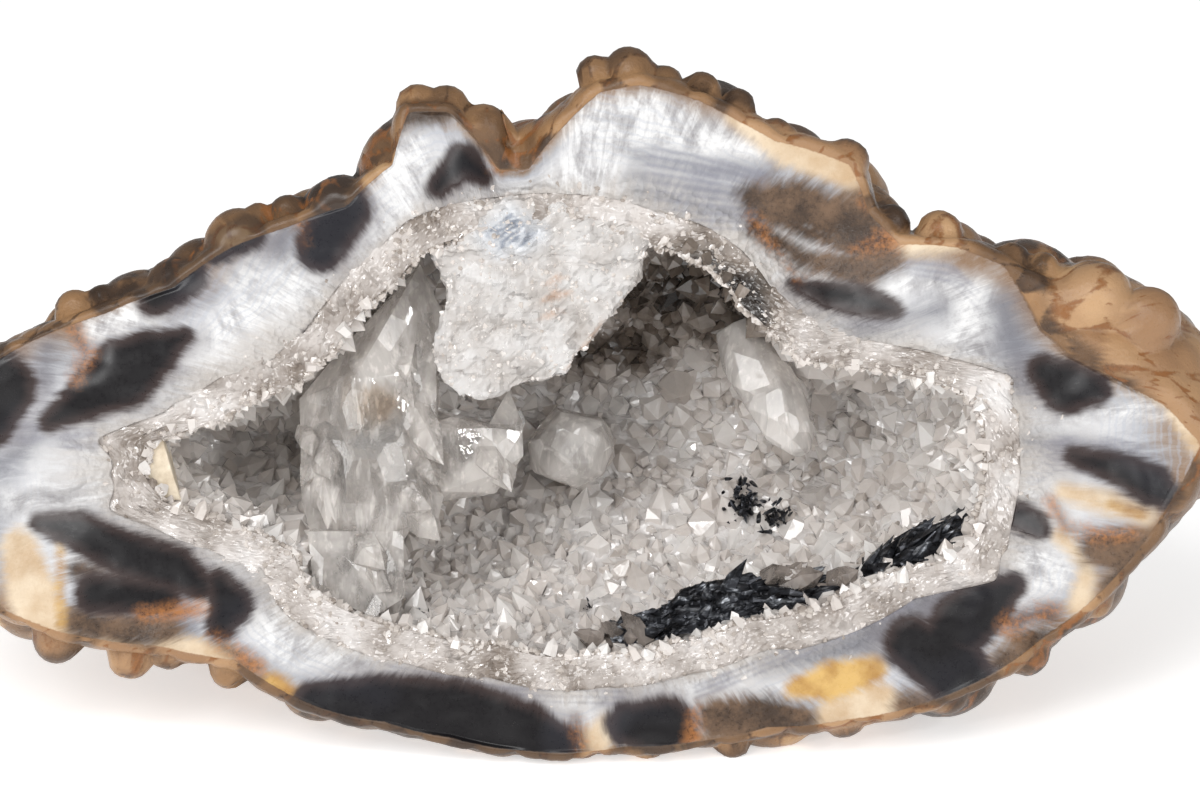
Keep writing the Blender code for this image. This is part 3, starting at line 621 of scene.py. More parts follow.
def rind_surface(angle, share, lumps):
    base, normal = rind_base(angle, share), rind_normal(angle, share)
    height = np.zeros(len(base))
    owner = np.full(len(base), -1)
    for index, (centre, radius) in enumerate(zip(*lumps)):
        to_centre = centre - base
        along = (to_centre * normal).sum(-1)
        inside = radius**2 - (to_centre**2).sum(-1) + along**2
        rise = np.where((inside > 0) & (along < radius), along + np.sqrt(np.abs(inside)), 0)
        owner = np.where(rise > height, index, owner)
        height = np.maximum(height, rise)
    fade = np.clip((1 - share) / 0.04, 0, 1)
    small, small_tone, small_crease = domes(base, SMALL_LUMP, 0.85)
    tiny, _, tiny_crease = domes(base, TINY_LUMP, 0.9)
    between = np.clip(1 - height / 2.6, 0.25, 1)
    extra = (0.62 * small + 0.2 * tiny) * between
    point = base + normal * ((height + extra - 0.3) * fade)[:, None]
    tones = np.array([random.Random(index).random() for index in range(len(lumps[0]) + 1)])
    tone = 0.55 * tones[owner] + 0.45 * small_tone
    crease = np.minimum(np.minimum(small_crease * 2.2, 1), tiny_crease * 1.4 + 0.45)
    world = rim_to_world(point)
    world[..., 2] = np.maximum(world[..., 2], 0)
    return world_to_rim(world), tone, crease


def all_lumps():
    centres, radii = back_lumps()
    for u, v, radius in EDGE_LUMPS:
        centres.append(np.array([u, v, -EDGE_LUMP_DEPTH]))
        radii.append(radius)
    return np.array(centres), np.array(radii)


# %% [markdown]
# Broken chalcedony is not flat. Low waves run over it, and towards the hollow the break steps through small
# quartz grains, so the surface gets rougher there. Noise along the face's own depth does both.

# %% Relief of the break
def flake(point, scale):
    """A value from -0.5 to 0.5 that is the same all over one irregular flake."""
    _, centres = noise.voronoi(Vector(point) * scale)
    return noise.cell(centres[0] * 7.3) * 0.5


def face_roughness(points, inward):
    """Millimetres that the break stands out or in, beyond its large swells. Dark chalcedony breaks smooth."""
    height = np.zeros(len(points))
    calm = np.clip(0.2 - stroke_distance(points[:, :2], STROKES["dark"]) / 1.5, 0.1, 1)
    for index, point in enumerate(points):
        slow = noise.fractal(Vector(point) * 0.13, 1.2, 2.0, 3)
        fine = noise.fractal(Vector(point) * 0.9, 0.9, 2.0, 3)
        grained = 0.05 + 0.2 * math.exp(-((inward[index] / 2.6) ** 2))
        height[index] = 0.45 * slow + grained * fine * calm[index]
    return height


def shell_place(angle, row):
    lumps = all_lumps()
    outside_rows = row < RIM_ROW
    share = 1 - (1 - np.clip(row / RIM_ROW, 0, 1)) ** 1.25
    across = np.clip((row - RIM_ROW) / (EDGE_ROW - RIM_ROW), 0, 1)
    inner, outer = wall_radius(angle, 0.0), face_radius(angle)
    radius = outer + (inner - outer) * across
    face = with_relief(at(angle, radius, 0.0))
    wall = hollow_surface(angle, np.clip((row - EDGE_ROW) / (SHELL_ROWS - EDGE_ROW), 0, 1), 0.0)
    places = np.where((row <= EDGE_ROW)[:, None], face, wall)
    tone, crease = np.full(len(row), 0.5), np.ones(len(row))
    rind, rind_tone, rind_crease = rind_surface(angle[outside_rows], share[outside_rows], lumps)
    places[outside_rows] = rind
    tone[outside_rows] = rind_tone
    crease[outside_rows] = rind_crease
    on_face = (row >= RIM_ROW) & (row <= EDGE_ROW)
    inward = np.where(row > EDGE_ROW, 0, radius - inner)
    edge_fade = np.clip((row[on_face] - RIM_ROW) / 3, 0, 1)
    places[on_face, 2] += face_roughness(places[on_face], inward[on_face]) * edge_fade
    shell_facts.update(tone=tone, crease=crease, inward=inward, across=1 - across, places=places)
    return places


shell_facts = {}
shell_bm, shell_angle, shell_row = wrapped_ball(SHELL_COLUMNS, SHELL_ROWS, shell_place)
agate_half = to_object("agate_half", shell_bm)
agate_half.data.shade_smooth()

# %% [markdown]
# The facts that the shader needs are stored on the mesh: how far in from the outer edge a point is, the
# distance inside each colour's strokes, and a ring coordinate, which follows the wall round so that streaks
# can run across it. Dark chalcedony fades towards the hollow and stops short at the rind, so its halo is
# the same strokes moved inwards.

# %% Store the facts of the wall
RING_RADIUS = 46.0
HALO_SHIFT = 1.2
places = shell_facts["places"]
depth = -places[:, 2]
for colour, strokes in STROKES.items():
    fade = 0.12 if colour == "cream" else 0.7
    store(agate_half, colour, stroke_distance(places[:, :2], strokes) - np.maximum(depth - 1.0, 0) * fade)
turn = np.interp(shell_angle, even_angles(np.linspace(0, 1, 721)), np.linspace(0, 2 * math.pi, 721))
ring = np.stack([np.cos(turn) * RING_RADIUS, np.sin(turn) * RING_RADIUS, shell_facts["inward"]], -1)
store(agate_half, "ring", ring, "FLOAT_VECTOR")
outward = places[:, :2] - CENTRE
outward /= np.maximum(np.linalg.norm(outward, axis=1, keepdims=True), 1e-6)
halo = stroke_distance(places[:, :2] + outward * HALO_SHIFT, STROKES["dark"])
store(agate_half, "halo", halo - np.maximum(depth - 1.0, 0) * 0.7)
store(agate_half, "across", np.where(shell_row > EDGE_ROW, 0, shell_facts["across"]))
store(agate_half, "inward", shell_facts["inward"])
store(agate_half, "rind", np.clip((RIM_ROW - shell_row) / 3 + 0.5, 0, 1))
store(agate_half, "tone", shell_facts["tone"])
store(agate_half, "crease", shell_facts["crease"])
print("the shell reaches", round(float(depth.max()), 1), "mm behind its face")

# %% [markdown]
# ## Finish of the agate
# Colours are laid one over the other as in the stone: first the layers from the hollow outwards, then each
# group of strokes, feathered by streaks that run across the wall, then the rind. One waxy gloss serves for
# all, and small relief, strongest near the hollow, is left off the dark chalcedony, so that it looks
# smooth.

# %% Material of the agate
LAYER_TONES = (
    (0.0, (0.46, 0.425, 0.395)), (0.14, (0.53, 0.505, 0.485)), (0.28, (0.52, 0.505, 0.50)),
    (0.42, (0.60, 0.595, 0.60)), (0.58, (0.53, 0.53, 0.55)), (0.72, (0.40, 0.40, 0.42)),
    (0.88, (0.32, 0.26, 0.22)), (1.0, (0.24, 0.15, 0.09)),
)
MILK_TONES = (
    (0.28, (0.27, 0.26, 0.265)), (0.42, (0.44, 0.43, 0.435)), (0.54, (0.64, 0.635, 0.635)),
    (0.70, (0.80, 0.79, 0.78)),
)
RIND_TONES = (
    (0.0, (0.022, 0.014, 0.010)), (0.3, (0.065, 0.038, 0.023)), (0.55, (0.165, 0.092, 0.046)),
    (0.78, (0.32, 0.18, 0.085)), (1.0, (0.50, 0.325, 0.17)),
)


def agate_material():
    material, tree, shader = new_material("agate")
    place = millimetres(tree)
    ring = vector_math("MULTIPLY", attribute(tree, "ring", "Vector"), (1.0, 1.0, 0.3))
    teeth = centred(grain(ring, 1.2, 5.0, 0.6, 0.7))
    wisp = centred(grain(place, 0.17, 6.0, 0.62, 1.6))
    cloud = centred(grain(place, 0.22, 5.0))
    drift = centred(grain(place, 0.07, 2.0))
    speck = centred(grain(place, 2.4, 4.0, 0.7))

    def inside(name, feather, roughened=0.35, wander=0.0):
        """Millimetres inside the strokes of one colour, feathered by noise."""
        noises = (times(teeth, feather), times(speck, roughened), times(cloud, wander))
        return plus(attribute(tree, name), *noises)

    def strokes(name, width, *feathering):
        return soft_mask(inside(name, *feathering), -width, width)

    def mottled(value, low, high, dark, light):
        return blend(soft_mask(value, low, high), dark, light)

    across = attribute(tree, "across")
    layer = plus(across, times(teeth, 0.4), times(cloud, 0.45))
    colour = ramp(layer, LAYER_TONES)
    milk = ramp(plus(times(wisp, 1.1), times(teeth, 0.6), times(speck, 0.2), 0.5), MILK_TONES)
    past_quartz = soft_mask(layer, 0.0, 0.24, 0.12, 1.0)
    colour = blend(times(strokes("white", 1.3, 3.2), past_quartz), colour, milk)

    wave = plus(times(attribute(tree, "inward"), 9.0), times(cloud, 26.0), times(speck, 1.6))
    bands = soft_mask(number("SINE", wave), 0.2, 0.9)
    banded = times(soft_mask(across, 0.22, 0.4), soft_mask(drift, -0.04, 0.1, 0.02, 0.3))
    colour = blend(times(bands, banded), colour, (0.40, 0.43, 0.49))
    colour = blend(times(strokes("grey", 1.8, 2.2), 0.9), colour, (0.15, 0.152, 0.175))
    colour = blend(times(strokes("line", 0.3, 0.0, 0.25, 1.2), 0.62), colour, (0.20, 0.20, 0.24))

    cream = strokes("cream", 0.7, 1.2)
    colour = blend(cream, colour, mottled(cloud, -0.2, 0.2, (0.50, 0.35, 0.21), (0.70, 0.58, 0.43)))
    earth = plus(times(speck, 0.4), cloud)
    brown = mottled(earth, -0.16, 0.2, (0.046, 0.028, 0.018), (0.165, 0.10, 0.06))
    colour = blend(strokes("brown", 0.9, 1.8), colour, brown)
    amber = mottled(cloud, -0.1, 0.15, (0.38, 0.20, 0.055), (0.62, 0.40, 0.14))
    colour = blend(strokes("amber", 0.6, 1.0), colour, amber)

    halo = strokes("halo", 2.2, 2.6, 0.2)
    colour = blend(times(halo, 0.8), colour, (0.15, 0.135, 0.145))
    dark_in = inside("dark", 1.0, 0.12)
    dark = soft_mask(dark_in, -0.9, 0.0)
    black = mottled(dark_in, -0.4, 1.0, (0.045, 0.030, 0.028), (0.006, 0.005, 0.006))
    black = blend(times(soft_mask(drift, -0.02, 0.12), 0.3), black, (0.035, 0.036, 0.048))
    colour = blend(dark, colour, black)
    rust = mottled(plus(cloud, speck), -0.2, 0.25, (0.075, 0.030, 0.014), (0.40, 0.155, 0.04))
    colour = blend(times(strokes("rust", 0.9, 0.6, 0.9, 1.0), 0.85), colour, rust)

    rind_colour = ramp(plus(attribute(tree, "tone"), times(cloud, 0.7)), RIND_TONES)
    tan = blend(attribute(tree, "tone"), (0.25, 0.125, 0.06), (0.50, 0.31, 0.165))
    rind_colour = blend(times(cream, 0.85), rind_colour, tan)
    in_crease = soft_mask(plus(attribute(tree, "crease"), times(speck, 0.3)), 0.24, 0.04)
    rind_colour = blend(times(in_crease, 0.75), rind_colour, (0.045, 0.026, 0.016))
    rusty = soft_mask(plus(drift, times(speck, 0.3)), -0.06, 0.1)
    rust_in_crease = times(in_crease, number("MAXIMUM", rusty, cream))
    rind_colour = blend(times(rust_in_crease, 0.6), rind_colour, (0.34, 0.13, 0.035))
    rind_colour = blend(times(dark, 0.7), rind_colour, (0.04, 0.028, 0.022))
    rind = soft_mask(plus(attribute(tree, "rind"), speck), 0.3, 0.7)
    colour = blend(rind, colour, rind_colour)

    off_dark = number("SUBTRACT", 1.0, number("MAXIMUM", dark, times(halo, 0.96)))
    near_hollow = times(soft_mask(across, 0.32, 0.12), off_dark)
    grains = add(tree, "TexVoronoi", {"Vector": place, "Scale": 1.6}, feature="F1").outputs["Distance"]
    relief = bump(times(grains, near_hollow), 0.4, 0.8)
    relief = bump(times(grain(place, 3.0, 6.0, 0.6), off_dark), 0.1, 0.7, relief)
    wire(shader, Base_Color=colour, Roughness=plus(0.30, times(speck, 0.25)), Normal=relief)
    wire(shader, IOR=QUARTZ_IOR, Specular_IOR_Level=0.3)
    return material


settle(agate_half, agate_material(), "agate", "agate_shell")

# %% [markdown]
# ## One small crystal
# Quartz grows six-sided prisms that end in a point of six faces, three of them larger. A cone primitive
# with six sides makes the prism, and poking its top face raises the point. A handful of shapes, turned at
# random, is enough for thousands of crystals, and each has only a few dozen faces.

# %% Shapes of small crystals
def crystal_shape(sides, taper, length, point, shift):
    """A crystal one unit in radius, standing on its base, as points and faces."""
    bm = bmesh.new()
    bmesh.ops.create_cone(bm, cap_ends=True, segments=sides, radius1=1, radius2=taper, depth=length)
    bm.faces.ensure_lookup_table()
    top = max(bm.faces, key=lambda face: face.calc_center_median().z)
    tip = bmesh.ops.poke(bm, faces=[top])["verts"][0]
    tip.co += Vector((shift * taper, shift * 0.6 * taper, point))
    points = np.array([vert.co for vert in bm.verts])
    faces = [[vert.index for vert in face.verts] for face in bm.faces]
    bm.free()
    return points, faces


CRYSTAL_SHAPES = [
    crystal_shape(6, 0.95, 1.4, 1.00, 0.35),
    crystal_shape(6, 0.85, 1.2, 0.90, -0.45),
    crystal_shape(5, 0.80, 1.5, 0.80, 0.20),
    crystal_shape(6, 0.97, 1.0, 1.20, 0.0),
    crystal_shape(3, 0.90, 1.0, 1.00, 0.25),
    crystal_shape(4, 0.75, 1.2, 0.70, 0.45),
    crystal_shape(3, 1.00, 0.8, 0.80, -0.3),
]


def crystals_mesh(name, spots):
    """One mesh of many crystals. A spot is its place in mm, its direction, radius, stretch and tone."""
    chance = random.Random(SCATTER_SEED)
    points, faces, tones, count = [], [], [], 0
    for place, direction, radius, stretch, tone in spots:
        shape, shape_faces = CRYSTAL_SHAPES[chance.randrange(len(CRYSTAL_SHAPES))]
        turn = Vector(direction).to_track_quat("Z", "Y").to_matrix()
        spin = Matrix.Rotation(chance.uniform(0, 2 * math.pi), 3, "Z")
        squeeze = chance.uniform(0.72, 1.0)
        scaled = shape * (radius, radius * squeeze, radius * stretch)
        points.append(scaled @ np.array(turn @ spin).T + place)
        faces += [[corner + count for corner in face] for face in shape_faces]
        tones += [tone] * len(shape)
        count += len(shape)
    mesh = bpy.data.meshes.new(name)
    mesh.from_pydata(rim_to_world(np.concatenate(points)).tolist(), [], faces)
    obj = bpy.data.objects.new(name, mesh)
    bpy.context.scene.collection.objects.link(obj)
    store(obj, "tone", np.array(tones))
    return obj


print("a small crystal has", len(CRYSTAL_SHAPES[0][1]), "faces")

# %% [markdown]
# ## Where the crystals stand
# The hollow is lined all over, so large crystals are set first and smaller ones fill the room that is left.
# Trying random places and keeping those that are far enough from the last ones gives that packing. A table
# of cells makes the search quick.

# %% Scatter over the wall of the hollow
def wall_normal(angle, share, inset):
    step = 0.02
    share = np.clip(share, step, 1 - step)
    round_it = hollow_surface(angle + step, share, inset) - hollow_surface(angle - step, share, inset)
    down_it = hollow_surface(angle, share + step, inset) - hollow_surface(angle, share - step, inset)
    normal = np.cross(round_it, down_it)
    inward = np.array([CENTRE[0], CENTRE[1] + 2, -6.0]) - hollow_surface(angle, share, inset)
    normal *= np.sign((normal * inward).sum(-1, keepdims=True))
    return normal / np.linalg.norm(normal, axis=-1, keepdims=True)


def mounds(points):
    """Low mounds of the crust, in mm."""
    return np.array([noise.fractal(Vector(point) * 0.13, 1.0, 2.0, 3) for point in points]) * 1.3


WALL_INSET = CRUST_GAP + CRUST_THICKNESS
chance = np.random.default_rng(SCATTER_SEED)
CANDIDATES = 60000
wall_angle = even_angles(chance.random(CANDIDATES))
wall_share = chance.random(CANDIDATES)
step = 0.01
down = hollow_surface(wall_angle, np.clip(wall_share + step, 0, 1), WALL_INSET)
down -= hollow_surface(wall_angle, np.clip(wall_share - step, 0, 1), WALL_INSET)
round_it = hollow_surface(wall_angle + step, wall_share, WALL_INSET)
round_it -= hollow_surface(wall_angle - step, wall_share, WALL_INSET)
area = np.linalg.norm(np.cross(down, round_it), axis=-1)
kept = chance.random(CANDIDATES) < area / np.quantile(area, 0.98)
wall_angle, wall_share = wall_angle[kept], wall_share[kept]
wall_points = hollow_surface(wall_angle, wall_share, WALL_INSET)
wall_normals = wall_normal(wall_angle, wall_share, WALL_INSET)
wall_points += wall_normals * mounds(wall_points)[:, None]
print(len(wall_points), "places tried on the wall")


def pack(points, sizes, spacing):
    """Indices of points that keep their distance; sizes are tried from the largest down."""
    cell = 2.0
    taken, table = [], {}
    order = iter(range(len(points)))
    for size in sizes:
        for index in order:
            point = points[index]
            home = tuple(np.floor(point / cell).astype(int))
            near = [
                other
                for x in (-1, 0, 1)
                for y in (-1, 0, 1)
                for z in (-1, 0, 1)
                for other in table.get((home[0] + x, home[1] + y, home[2] + z), ())
            ]
            if all(np.linalg.norm(point - place) > (size + reach) * spacing for place, reach in near):
                table.setdefault(home, []).append((point, size))
                taken.append((index, size))
                break
        else:
            break
    return taken


SPACING = 0.62
LARGE, MIDDLE, SMALL = 150, 900, 2600
sizes = np.concatenate([
    np.linspace(2.2, 1.4, LARGE), np.linspace(1.25, 0.75, MIDDLE), np.linspace(0.72, 0.4, SMALL),
])
packed = pack(wall_points, sizes, SPACING)
print(len(packed), "crystals on the wall")

# %% [markdown]
# The recess high on the right and the wall behind the foot of the hanging slab are darkened, as painted
# shade where shade falls. A tone stored on each crystal carries that, with a little chance in it.

# %% Tones and the druse
# Strokes where painted shade darkens the wall: the recess high on the right, and behind the slab's foot.
PAINTED_SHADE_STROKES = (
    ((3.0, 10.5, 3.2), (8.0, 11.5, 3.8), (12.0, 8.5, 3.2)),
    ((-3.0, 4.8, 1.6), (1.4, 5.6, 2.2), (5.5, 6.5, 1.6)),
)
wild = random.Random(SEEDS["druse"])
spots = []
painted_shade = stroke_distance(wall_points[:, :2], PAINTED_SHADE_STROKES)
for index, size in packed:
    size = min(size, 0.6 + 6 * wall_share[index])
    direction = Vector(wall_normals[index]) + shake(wild, 0.42)
    tone = min(max(0.80 + 0.10 * wild.gauss(0, 1), 0.45), 1.0)
    # Painted shade: crystals in the recess and behind the slab's foot get a lower tone.
    tone -= 0.7 * float(np.clip((painted_shade[index] + 2.0) / 4.0, 0, 1))
    sink = size * (0.15 + 0.15 * size)
    place = wall_points[index] - wall_normals[index] * sink
    stretch = wild.uniform(0.7, 1.25) if size < 1.2 else wild.uniform(0.55, 0.85)
    spots.append((place, direction, size, stretch, max(tone, 0.03)))
druse = crystals_mesh("druse_crystals", spots)


# %% [markdown]
# The bed under the crystals closes the gap to the wall. Its back lies just inside the agate, its lip laps
# over the break with a ragged edge, and its front is the hollow.

# %% Bed of the druse
BED_COLUMNS = 560
BED_ROWS = 104
BACK_ROWS = 20
LIP_ROWS = 44
LIP_SINK = 0.5
LIP_RISE = 0.54
LIP_SMOOTHING = (-0.12, -0.06, 0.0, 0.06, 0.12)


def lip_reach(angle):
    wander = [noise.noise(Vector((math.cos(turn) * 5, math.sin(turn) * 5, 2.0))) for turn in angle]
    ragged = [noise.noise(Vector((math.cos(turn) * 21, math.sin(turn) * 21, 5.0))) for turn in angle]
    return np.maximum(0.9 + 1.3 * np.array(wander) + 0.8 * np.array(ragged), 0.3)


def bed_place(angle, row):
    back = hollow_surface(angle, np.clip(1 - row / BACK_ROWS, 0, 1), -0.4)
    across = np.clip((row - BACK_ROWS) / (LIP_ROWS - BACK_ROWS), 0, 1)
    reach = lip_reach(angle)
    outer = np.mean([wall_radius(angle + turn, -reach) for turn in LIP_SMOOTHING], axis=0)
    outer = np.maximum(outer, wall_radius(angle, -0.3))
    lip = with_relief(at(angle, outer + (wall_radius(angle, WALL_INSET) - outer) * across, 0.0))
    away = np.maximum(-(WALL_INSET + reach) * (across - 1) - WALL_INSET, 0)
    steps = np.array([flake(point, 0.9) + 0.5 * flake(point, 1.9) for point in lip])
    rising = np.clip(across * 2.0, 0, 1)
    lip[:, 2] += face_roughness(lip, away + 2.4) - LIP_SINK
    lip[:, 2] += LIP_RISE * np.sin(rising * math.pi / 2) + 0.3 * steps * rising
    share = np.clip((row - LIP_ROWS) / (BED_ROWS - LIP_ROWS), 0, 1)
    front = hollow_surface(angle, share, WALL_INSET)
    normal = wall_normal(angle, share, WALL_INSET)
    steps = np.array([flake(point, 0.8) for point in front]) * 0.5
    front = front + normal * ((mounds(front) + steps) * np.clip(share / 0.05, 0, 1))[:, None]
    row = row[:, None]
    return np.where(row < BACK_ROWS, back, np.where(row <= LIP_ROWS, lip, front))


bed_bm, _, _ = wrapped_ball(BED_COLUMNS, BED_ROWS, bed_place)
druse_bed = to_object("druse_bed", bed_bm)
bed_places = world_to_rim(np.array([vert.co for vert in druse_bed.data.vertices]))
# The bed gets the same painted shade in the recess and behind the slab's foot.
bed_painted_shade = np.clip((stroke_distance(bed_places[:, :2], PAINTED_SHADE_STROKES) + 2.0) / 4.0, 0, 1)
patches = np.array([noise.fractal(Vector(place) * 0.16, 1.0, 2.0, 3) for place in bed_places])
lip_tone = (0.19 - 0.30 * patches) * np.clip(1 + bed_places[:, 2] / 3, 0, 1)
store(druse_bed, "tone", 0.64 - 0.55 * bed_painted_shade - lip_tone)

# %% [markdown]
# ## Finish of the quartz
# Small quartz crystals are clear with a breath of grey, and what makes them sparkle is the sharp reflection
# on flat faces. So the shader mixes a little plain transmission with a pale body colour and keeps the
# roughness low.

# %% Material of the druse
def quartz_material(name, stops, transmission, roughness, ripple, tilt):
    material, tree, shader = new_material(name)
    place = millimetres(tree)
    cloud = centred(grain(place, 0.3, 4.0))
    speck = centred(grain(place, 2.2, 3.0))
    tone = plus(attribute(tree, "tone"), times(cloud, 0.45), times(speck, 0.12))
    rough = number("ADD", roughness, times(speck, 0.2), clamp=True)
    broken = faceted_normal(place, 1.3, tilt, bump(grain(place, 3.0, 3.0), ripple, 0.5))
    wire(shader, Base_Color=ramp(tone, stops), Roughness=rough, Normal=broken, IOR=QUARTZ_IOR)
    wire(shader, Transmission_Weight=transmission, Specular_IOR_Level=0.8)
    return material


DRUSE_TONES = (
    (0.0, (0.030, 0.023, 0.019)), (0.25, (0.22, 0.175, 0.14)), (0.5, (0.58, 0.52, 0.47)),
    (0.72, (0.76, 0.70, 0.655)), (1.0, (0.90, 0.87, 0.84)),
)
BED_TONES = (
    (0.0, (0.030, 0.023, 0.019)), (0.25, (0.22, 0.18, 0.15)), (0.5, (0.52, 0.475, 0.445)),
    (0.72, (0.74, 0.715, 0.70)),
)
druse_finish = quartz_material("druse_quartz", DRUSE_TONES, 0.15, 0.07, 0.015, 0.12)
bed_finish = quartz_material("druse_bed", BED_TONES, 0.0, 0.14, 0.05, 0.7)
settle(druse, druse_finish, "quartz")
settle(druse_bed, bed_finish, "quartz", "quartz_crust")

# %% [markdown]
# ## Grains along the edge
# The band of the break nearest the hollow is quartz too, broken across, so it glitters with small grains
# and has no clean line. Small crystals scattered over that band, thinning outwards, join the hollow to the
# face.

# %% Scatter along the edge
GRAINS = 5200
edge_chance = np.random.default_rng(SEEDS["edge"])
grain_angle = even_angles(edge_chance.random(GRAINS))
grain_out = np.abs(edge_chance.normal(0, 1.9, GRAINS))
edge_radius = wall_radius(grain_angle, WALL_INSET)
grain_places = with_relief(at(grain_angle, edge_radius + grain_out - 0.3, 0.0))
grain_places[:, 2] += face_roughness(grain_places, grain_out) - 0.15
edge_spots = []
off_dark = stroke_distance(grain_places[:, :2], STROKES["dark"]) < -0.6
for place in grain_places[off_dark]:
    direction = Vector((wild.gauss(0, 0.7), wild.gauss(0, 0.7), 1.0))
    tone = min(max(wild.gauss(0.58, 0.14), 0.36), 1.0)
    size = wild.uniform(0.14, 0.46)
    edge_spots.append((place - np.array([0, 0, size * 0.6]), direction, size, wild.uniform(0.6, 1.1), tone))
edge_grains = crystals_mesh("edge_grains", edge_spots)
settle(edge_grains, druse_finish, "quartz")

# %% [markdown]
# ## Large crystals with flat faces
# The clear crystals have shapes of their own, so each is the hull round a few corners, the same corners as
# in the frame. Beveling its edges a little makes the thin bright line that a real worn edge has.

# %% Corners of the large crystals
LARGE_CRYSTAL = (
    (-25.4, 1.6, -5.0), (-22.4, 5.2, -5.2), (-18.2, 9.4, -5.0), (-15.2, 13.0, -5.8), (-13.4, 9.0, -6.0),
    (-13.8, 3.8, -4.4), (-13.8, -3.0, -4.2), (-15.0, -7.6, -3.6), (-17.2, -11.4, -4.8),
    (-20.8, -11.2, -4.4), (-24.4, -10.2, -5.2), (-25.2, -7.0, -4.6), (-20.6, 3.4, -2.2), (-18.8, -7.2, -2.2),
    (-24.0, 0.5, -14.0), (-17.5, 9.5, -13.0), (-14.4, 4.0, -13.0), (-15.2, -8.0, -14.0), (-22.5, -9.5, -13.0),
)
FOOT_BLOCK = (
    (-24.6, -9.5, -3.0), (-24.0, -14.6, -2.4), (-19.0, -16.6, -2.0), (-16.4, -15.0, -2.2),
    (-16.6, -9.5, -3.8), (-23.0, -9.0, -11.0), (-17.0, -9.0, -11.0), (-20.0, -16.5, -8.0),
)
POINTING_CRYSTAL = (
    (-12.6, 0.0, -7.0), (-9.2, -0.9, -6.0), (-6.6, -1.2, -6.6), (-6.5, -3.3, -6.6), (-8.9, -6.5, -6.8),
    (-14.8, -7.4, -6.6), (-13.4, -6.2, -4.6), (-8.8, -4.8, -5.2), (-15.6, -1.0, -6.0),
    (-14.6, 0.5, -12.5), (-8.6, -1.4, -12.0), (-9.6, -6.0, -12.0), (-15.0, -6.5, -13.0),
)
UPRIGHT_CRYSTAL = (
    (-7.8, 2.3, -9.0), (-6.5, -0.8, -8.0), (-9.4, -0.6, -7.8), (-9.8, -3.0, -9.0), (-7.0, -3.4, -9.0),
    (-6.8, -1.5, -11.0), (-9.8, -1.0, -11.4),
)


def hull(name, points):
    bm = bmesh.new()
    for point in rim_to_world(np.array(points)):
        bm.verts.new(point)
    made = bmesh.ops.convex_hull(bm, input=bm.verts)
    inner = {item for item in made["geom_interior"] if isinstance(item, bmesh.types.BMVert)}
    bmesh.ops.delete(bm, geom=list(inner), context="VERTS")
    bmesh.ops.recalc_face_normals(bm, faces=bm.faces)
    return to_object(name, bm)


def joined(name, blocks):
    """One solid from overlapping hulls, with the union applied."""
    hulls = [hull(f"{name}_{place}", block) for place, block in enumerate(blocks)]
    for other in hulls[1:]:
        modifier = hulls[0].modifiers.new("union " + other.name, "BOOLEAN")
        modifier.operation = "UNION"
        modifier.solver = "EXACT"
        modifier.object = other
    bpy.context.view_layer.update()
    solid = hulls[0].evaluated_get(bpy.context.evaluated_depsgraph_get())
    mesh = bpy.data.meshes.new_from_object(solid)
    for obj in hulls:
        bpy.data.objects.remove(obj)
    made = bpy.data.objects.new(name, mesh)
    mesh.name = name
    bpy.context.scene.collection.objects.link(made)
    return made


def bevelled(obj, width):
    bm = bmesh.new()
    bm.from_mesh(obj.data)
    bmesh.ops.remove_doubles(bm, verts=bm.verts, dist=0.02 * MM)
    bmesh.ops.dissolve_limit(bm, angle_limit=math.radians(1), verts=bm.verts, edges=bm.edges)
    edges = [edge for edge in bm.edges if len(edge.link_faces) == 2 and edge.calc_face_angle(0) > 0.2]
    bmesh.ops.bevel(
        bm, geom=edges, offset=width * MM, affect="EDGES", segments=2, profile=0.5, material=-1,
        clamp_overlap=True,
    )
    bmesh.ops.triangulate(bm, faces=bm.faces)
    bm.to_mesh(obj.data)
    bm.free()


CLEAR_BEVEL = 0.18
clear_blocks = (LARGE_CRYSTAL, FOOT_BLOCK, POINTING_CRYSTAL, UPRIGHT_CRYSTAL)
clear_group = joined("clear_group", clear_blocks)
bevelled(clear_group, CLEAR_BEVEL)

# %% [markdown]
# Clear quartz bends light by 1.54 and takes almost nothing from it. Its faces are not optically flat: low
# growth hills, fine lines along the prism and slightly leaning facets break up what is seen through them. A
# faint golden stain sits in the largest crystal.

# %% Material of the clear quartz
GOLDEN_STAIN = (-19.0, 1.6, -2.8)


def clear_material(name, colour, clear, milky, roughness, density, hills, tilt):
    material, tree, shader = new_material(name)
    place = millimetres(tree)
    along = vector_math("MULTIPLY", place, (1.8, 1.8, 0.22))
    streaks = soft_mask(grain(along, 0.9, 4.0, 0.6), 0.5, 0.7, 0.0, 0.18)
    low_hills = bump(grain(place, 0.35, 2.0), hills, 0.6)
    growth = bump(grain(along, 1.2, 2.0), 0.03, 0.5, low_hills)
    slant = {"Vector": place, "Rotation": (0.2, 0.7, 0.1), "Scale": (1.2, 1.0, 0.6)}
    veil = grain(add(tree, "Mapping", slant).outputs[0], 0.26, 4.0, 0.55, 0.3)
    stain_place = tuple(rim_to_world(np.array(GOLDEN_STAIN)) / MM)
    away = add(tree, "VectorMath", {0: place, 1: stain_place}, operation="DISTANCE").outputs["Value"]
    stained = soft_mask(plus(away, times(centred(veil), 7.0)), 2.6, 0.4, 0.0, 0.5)
    through = number("SUBTRACT", soft_mask(veil, 0.36, 0.64, clear, milky), streaks)
    rough = soft_mask(veil, 0.5, 0.75, roughness, roughness + 0.16)
    faceted = faceted_normal(place, 0.42, tilt, growth)
    wire(shader, Base_Color=blend(stained, colour, (0.66, 0.44, 0.24)), Roughness=rough, Normal=faceted)
    wire(shader, IOR=QUARTZ_IOR, Transmission_Weight=through)
    absorb = add(tree, "VolumeAbsorption", {"Color": (0.90, 0.87, 0.83, 1), "Density": density})
    tree.links.new(absorb.outputs[0], tree.nodes["Material Output"].inputs["Volume"])
    return material


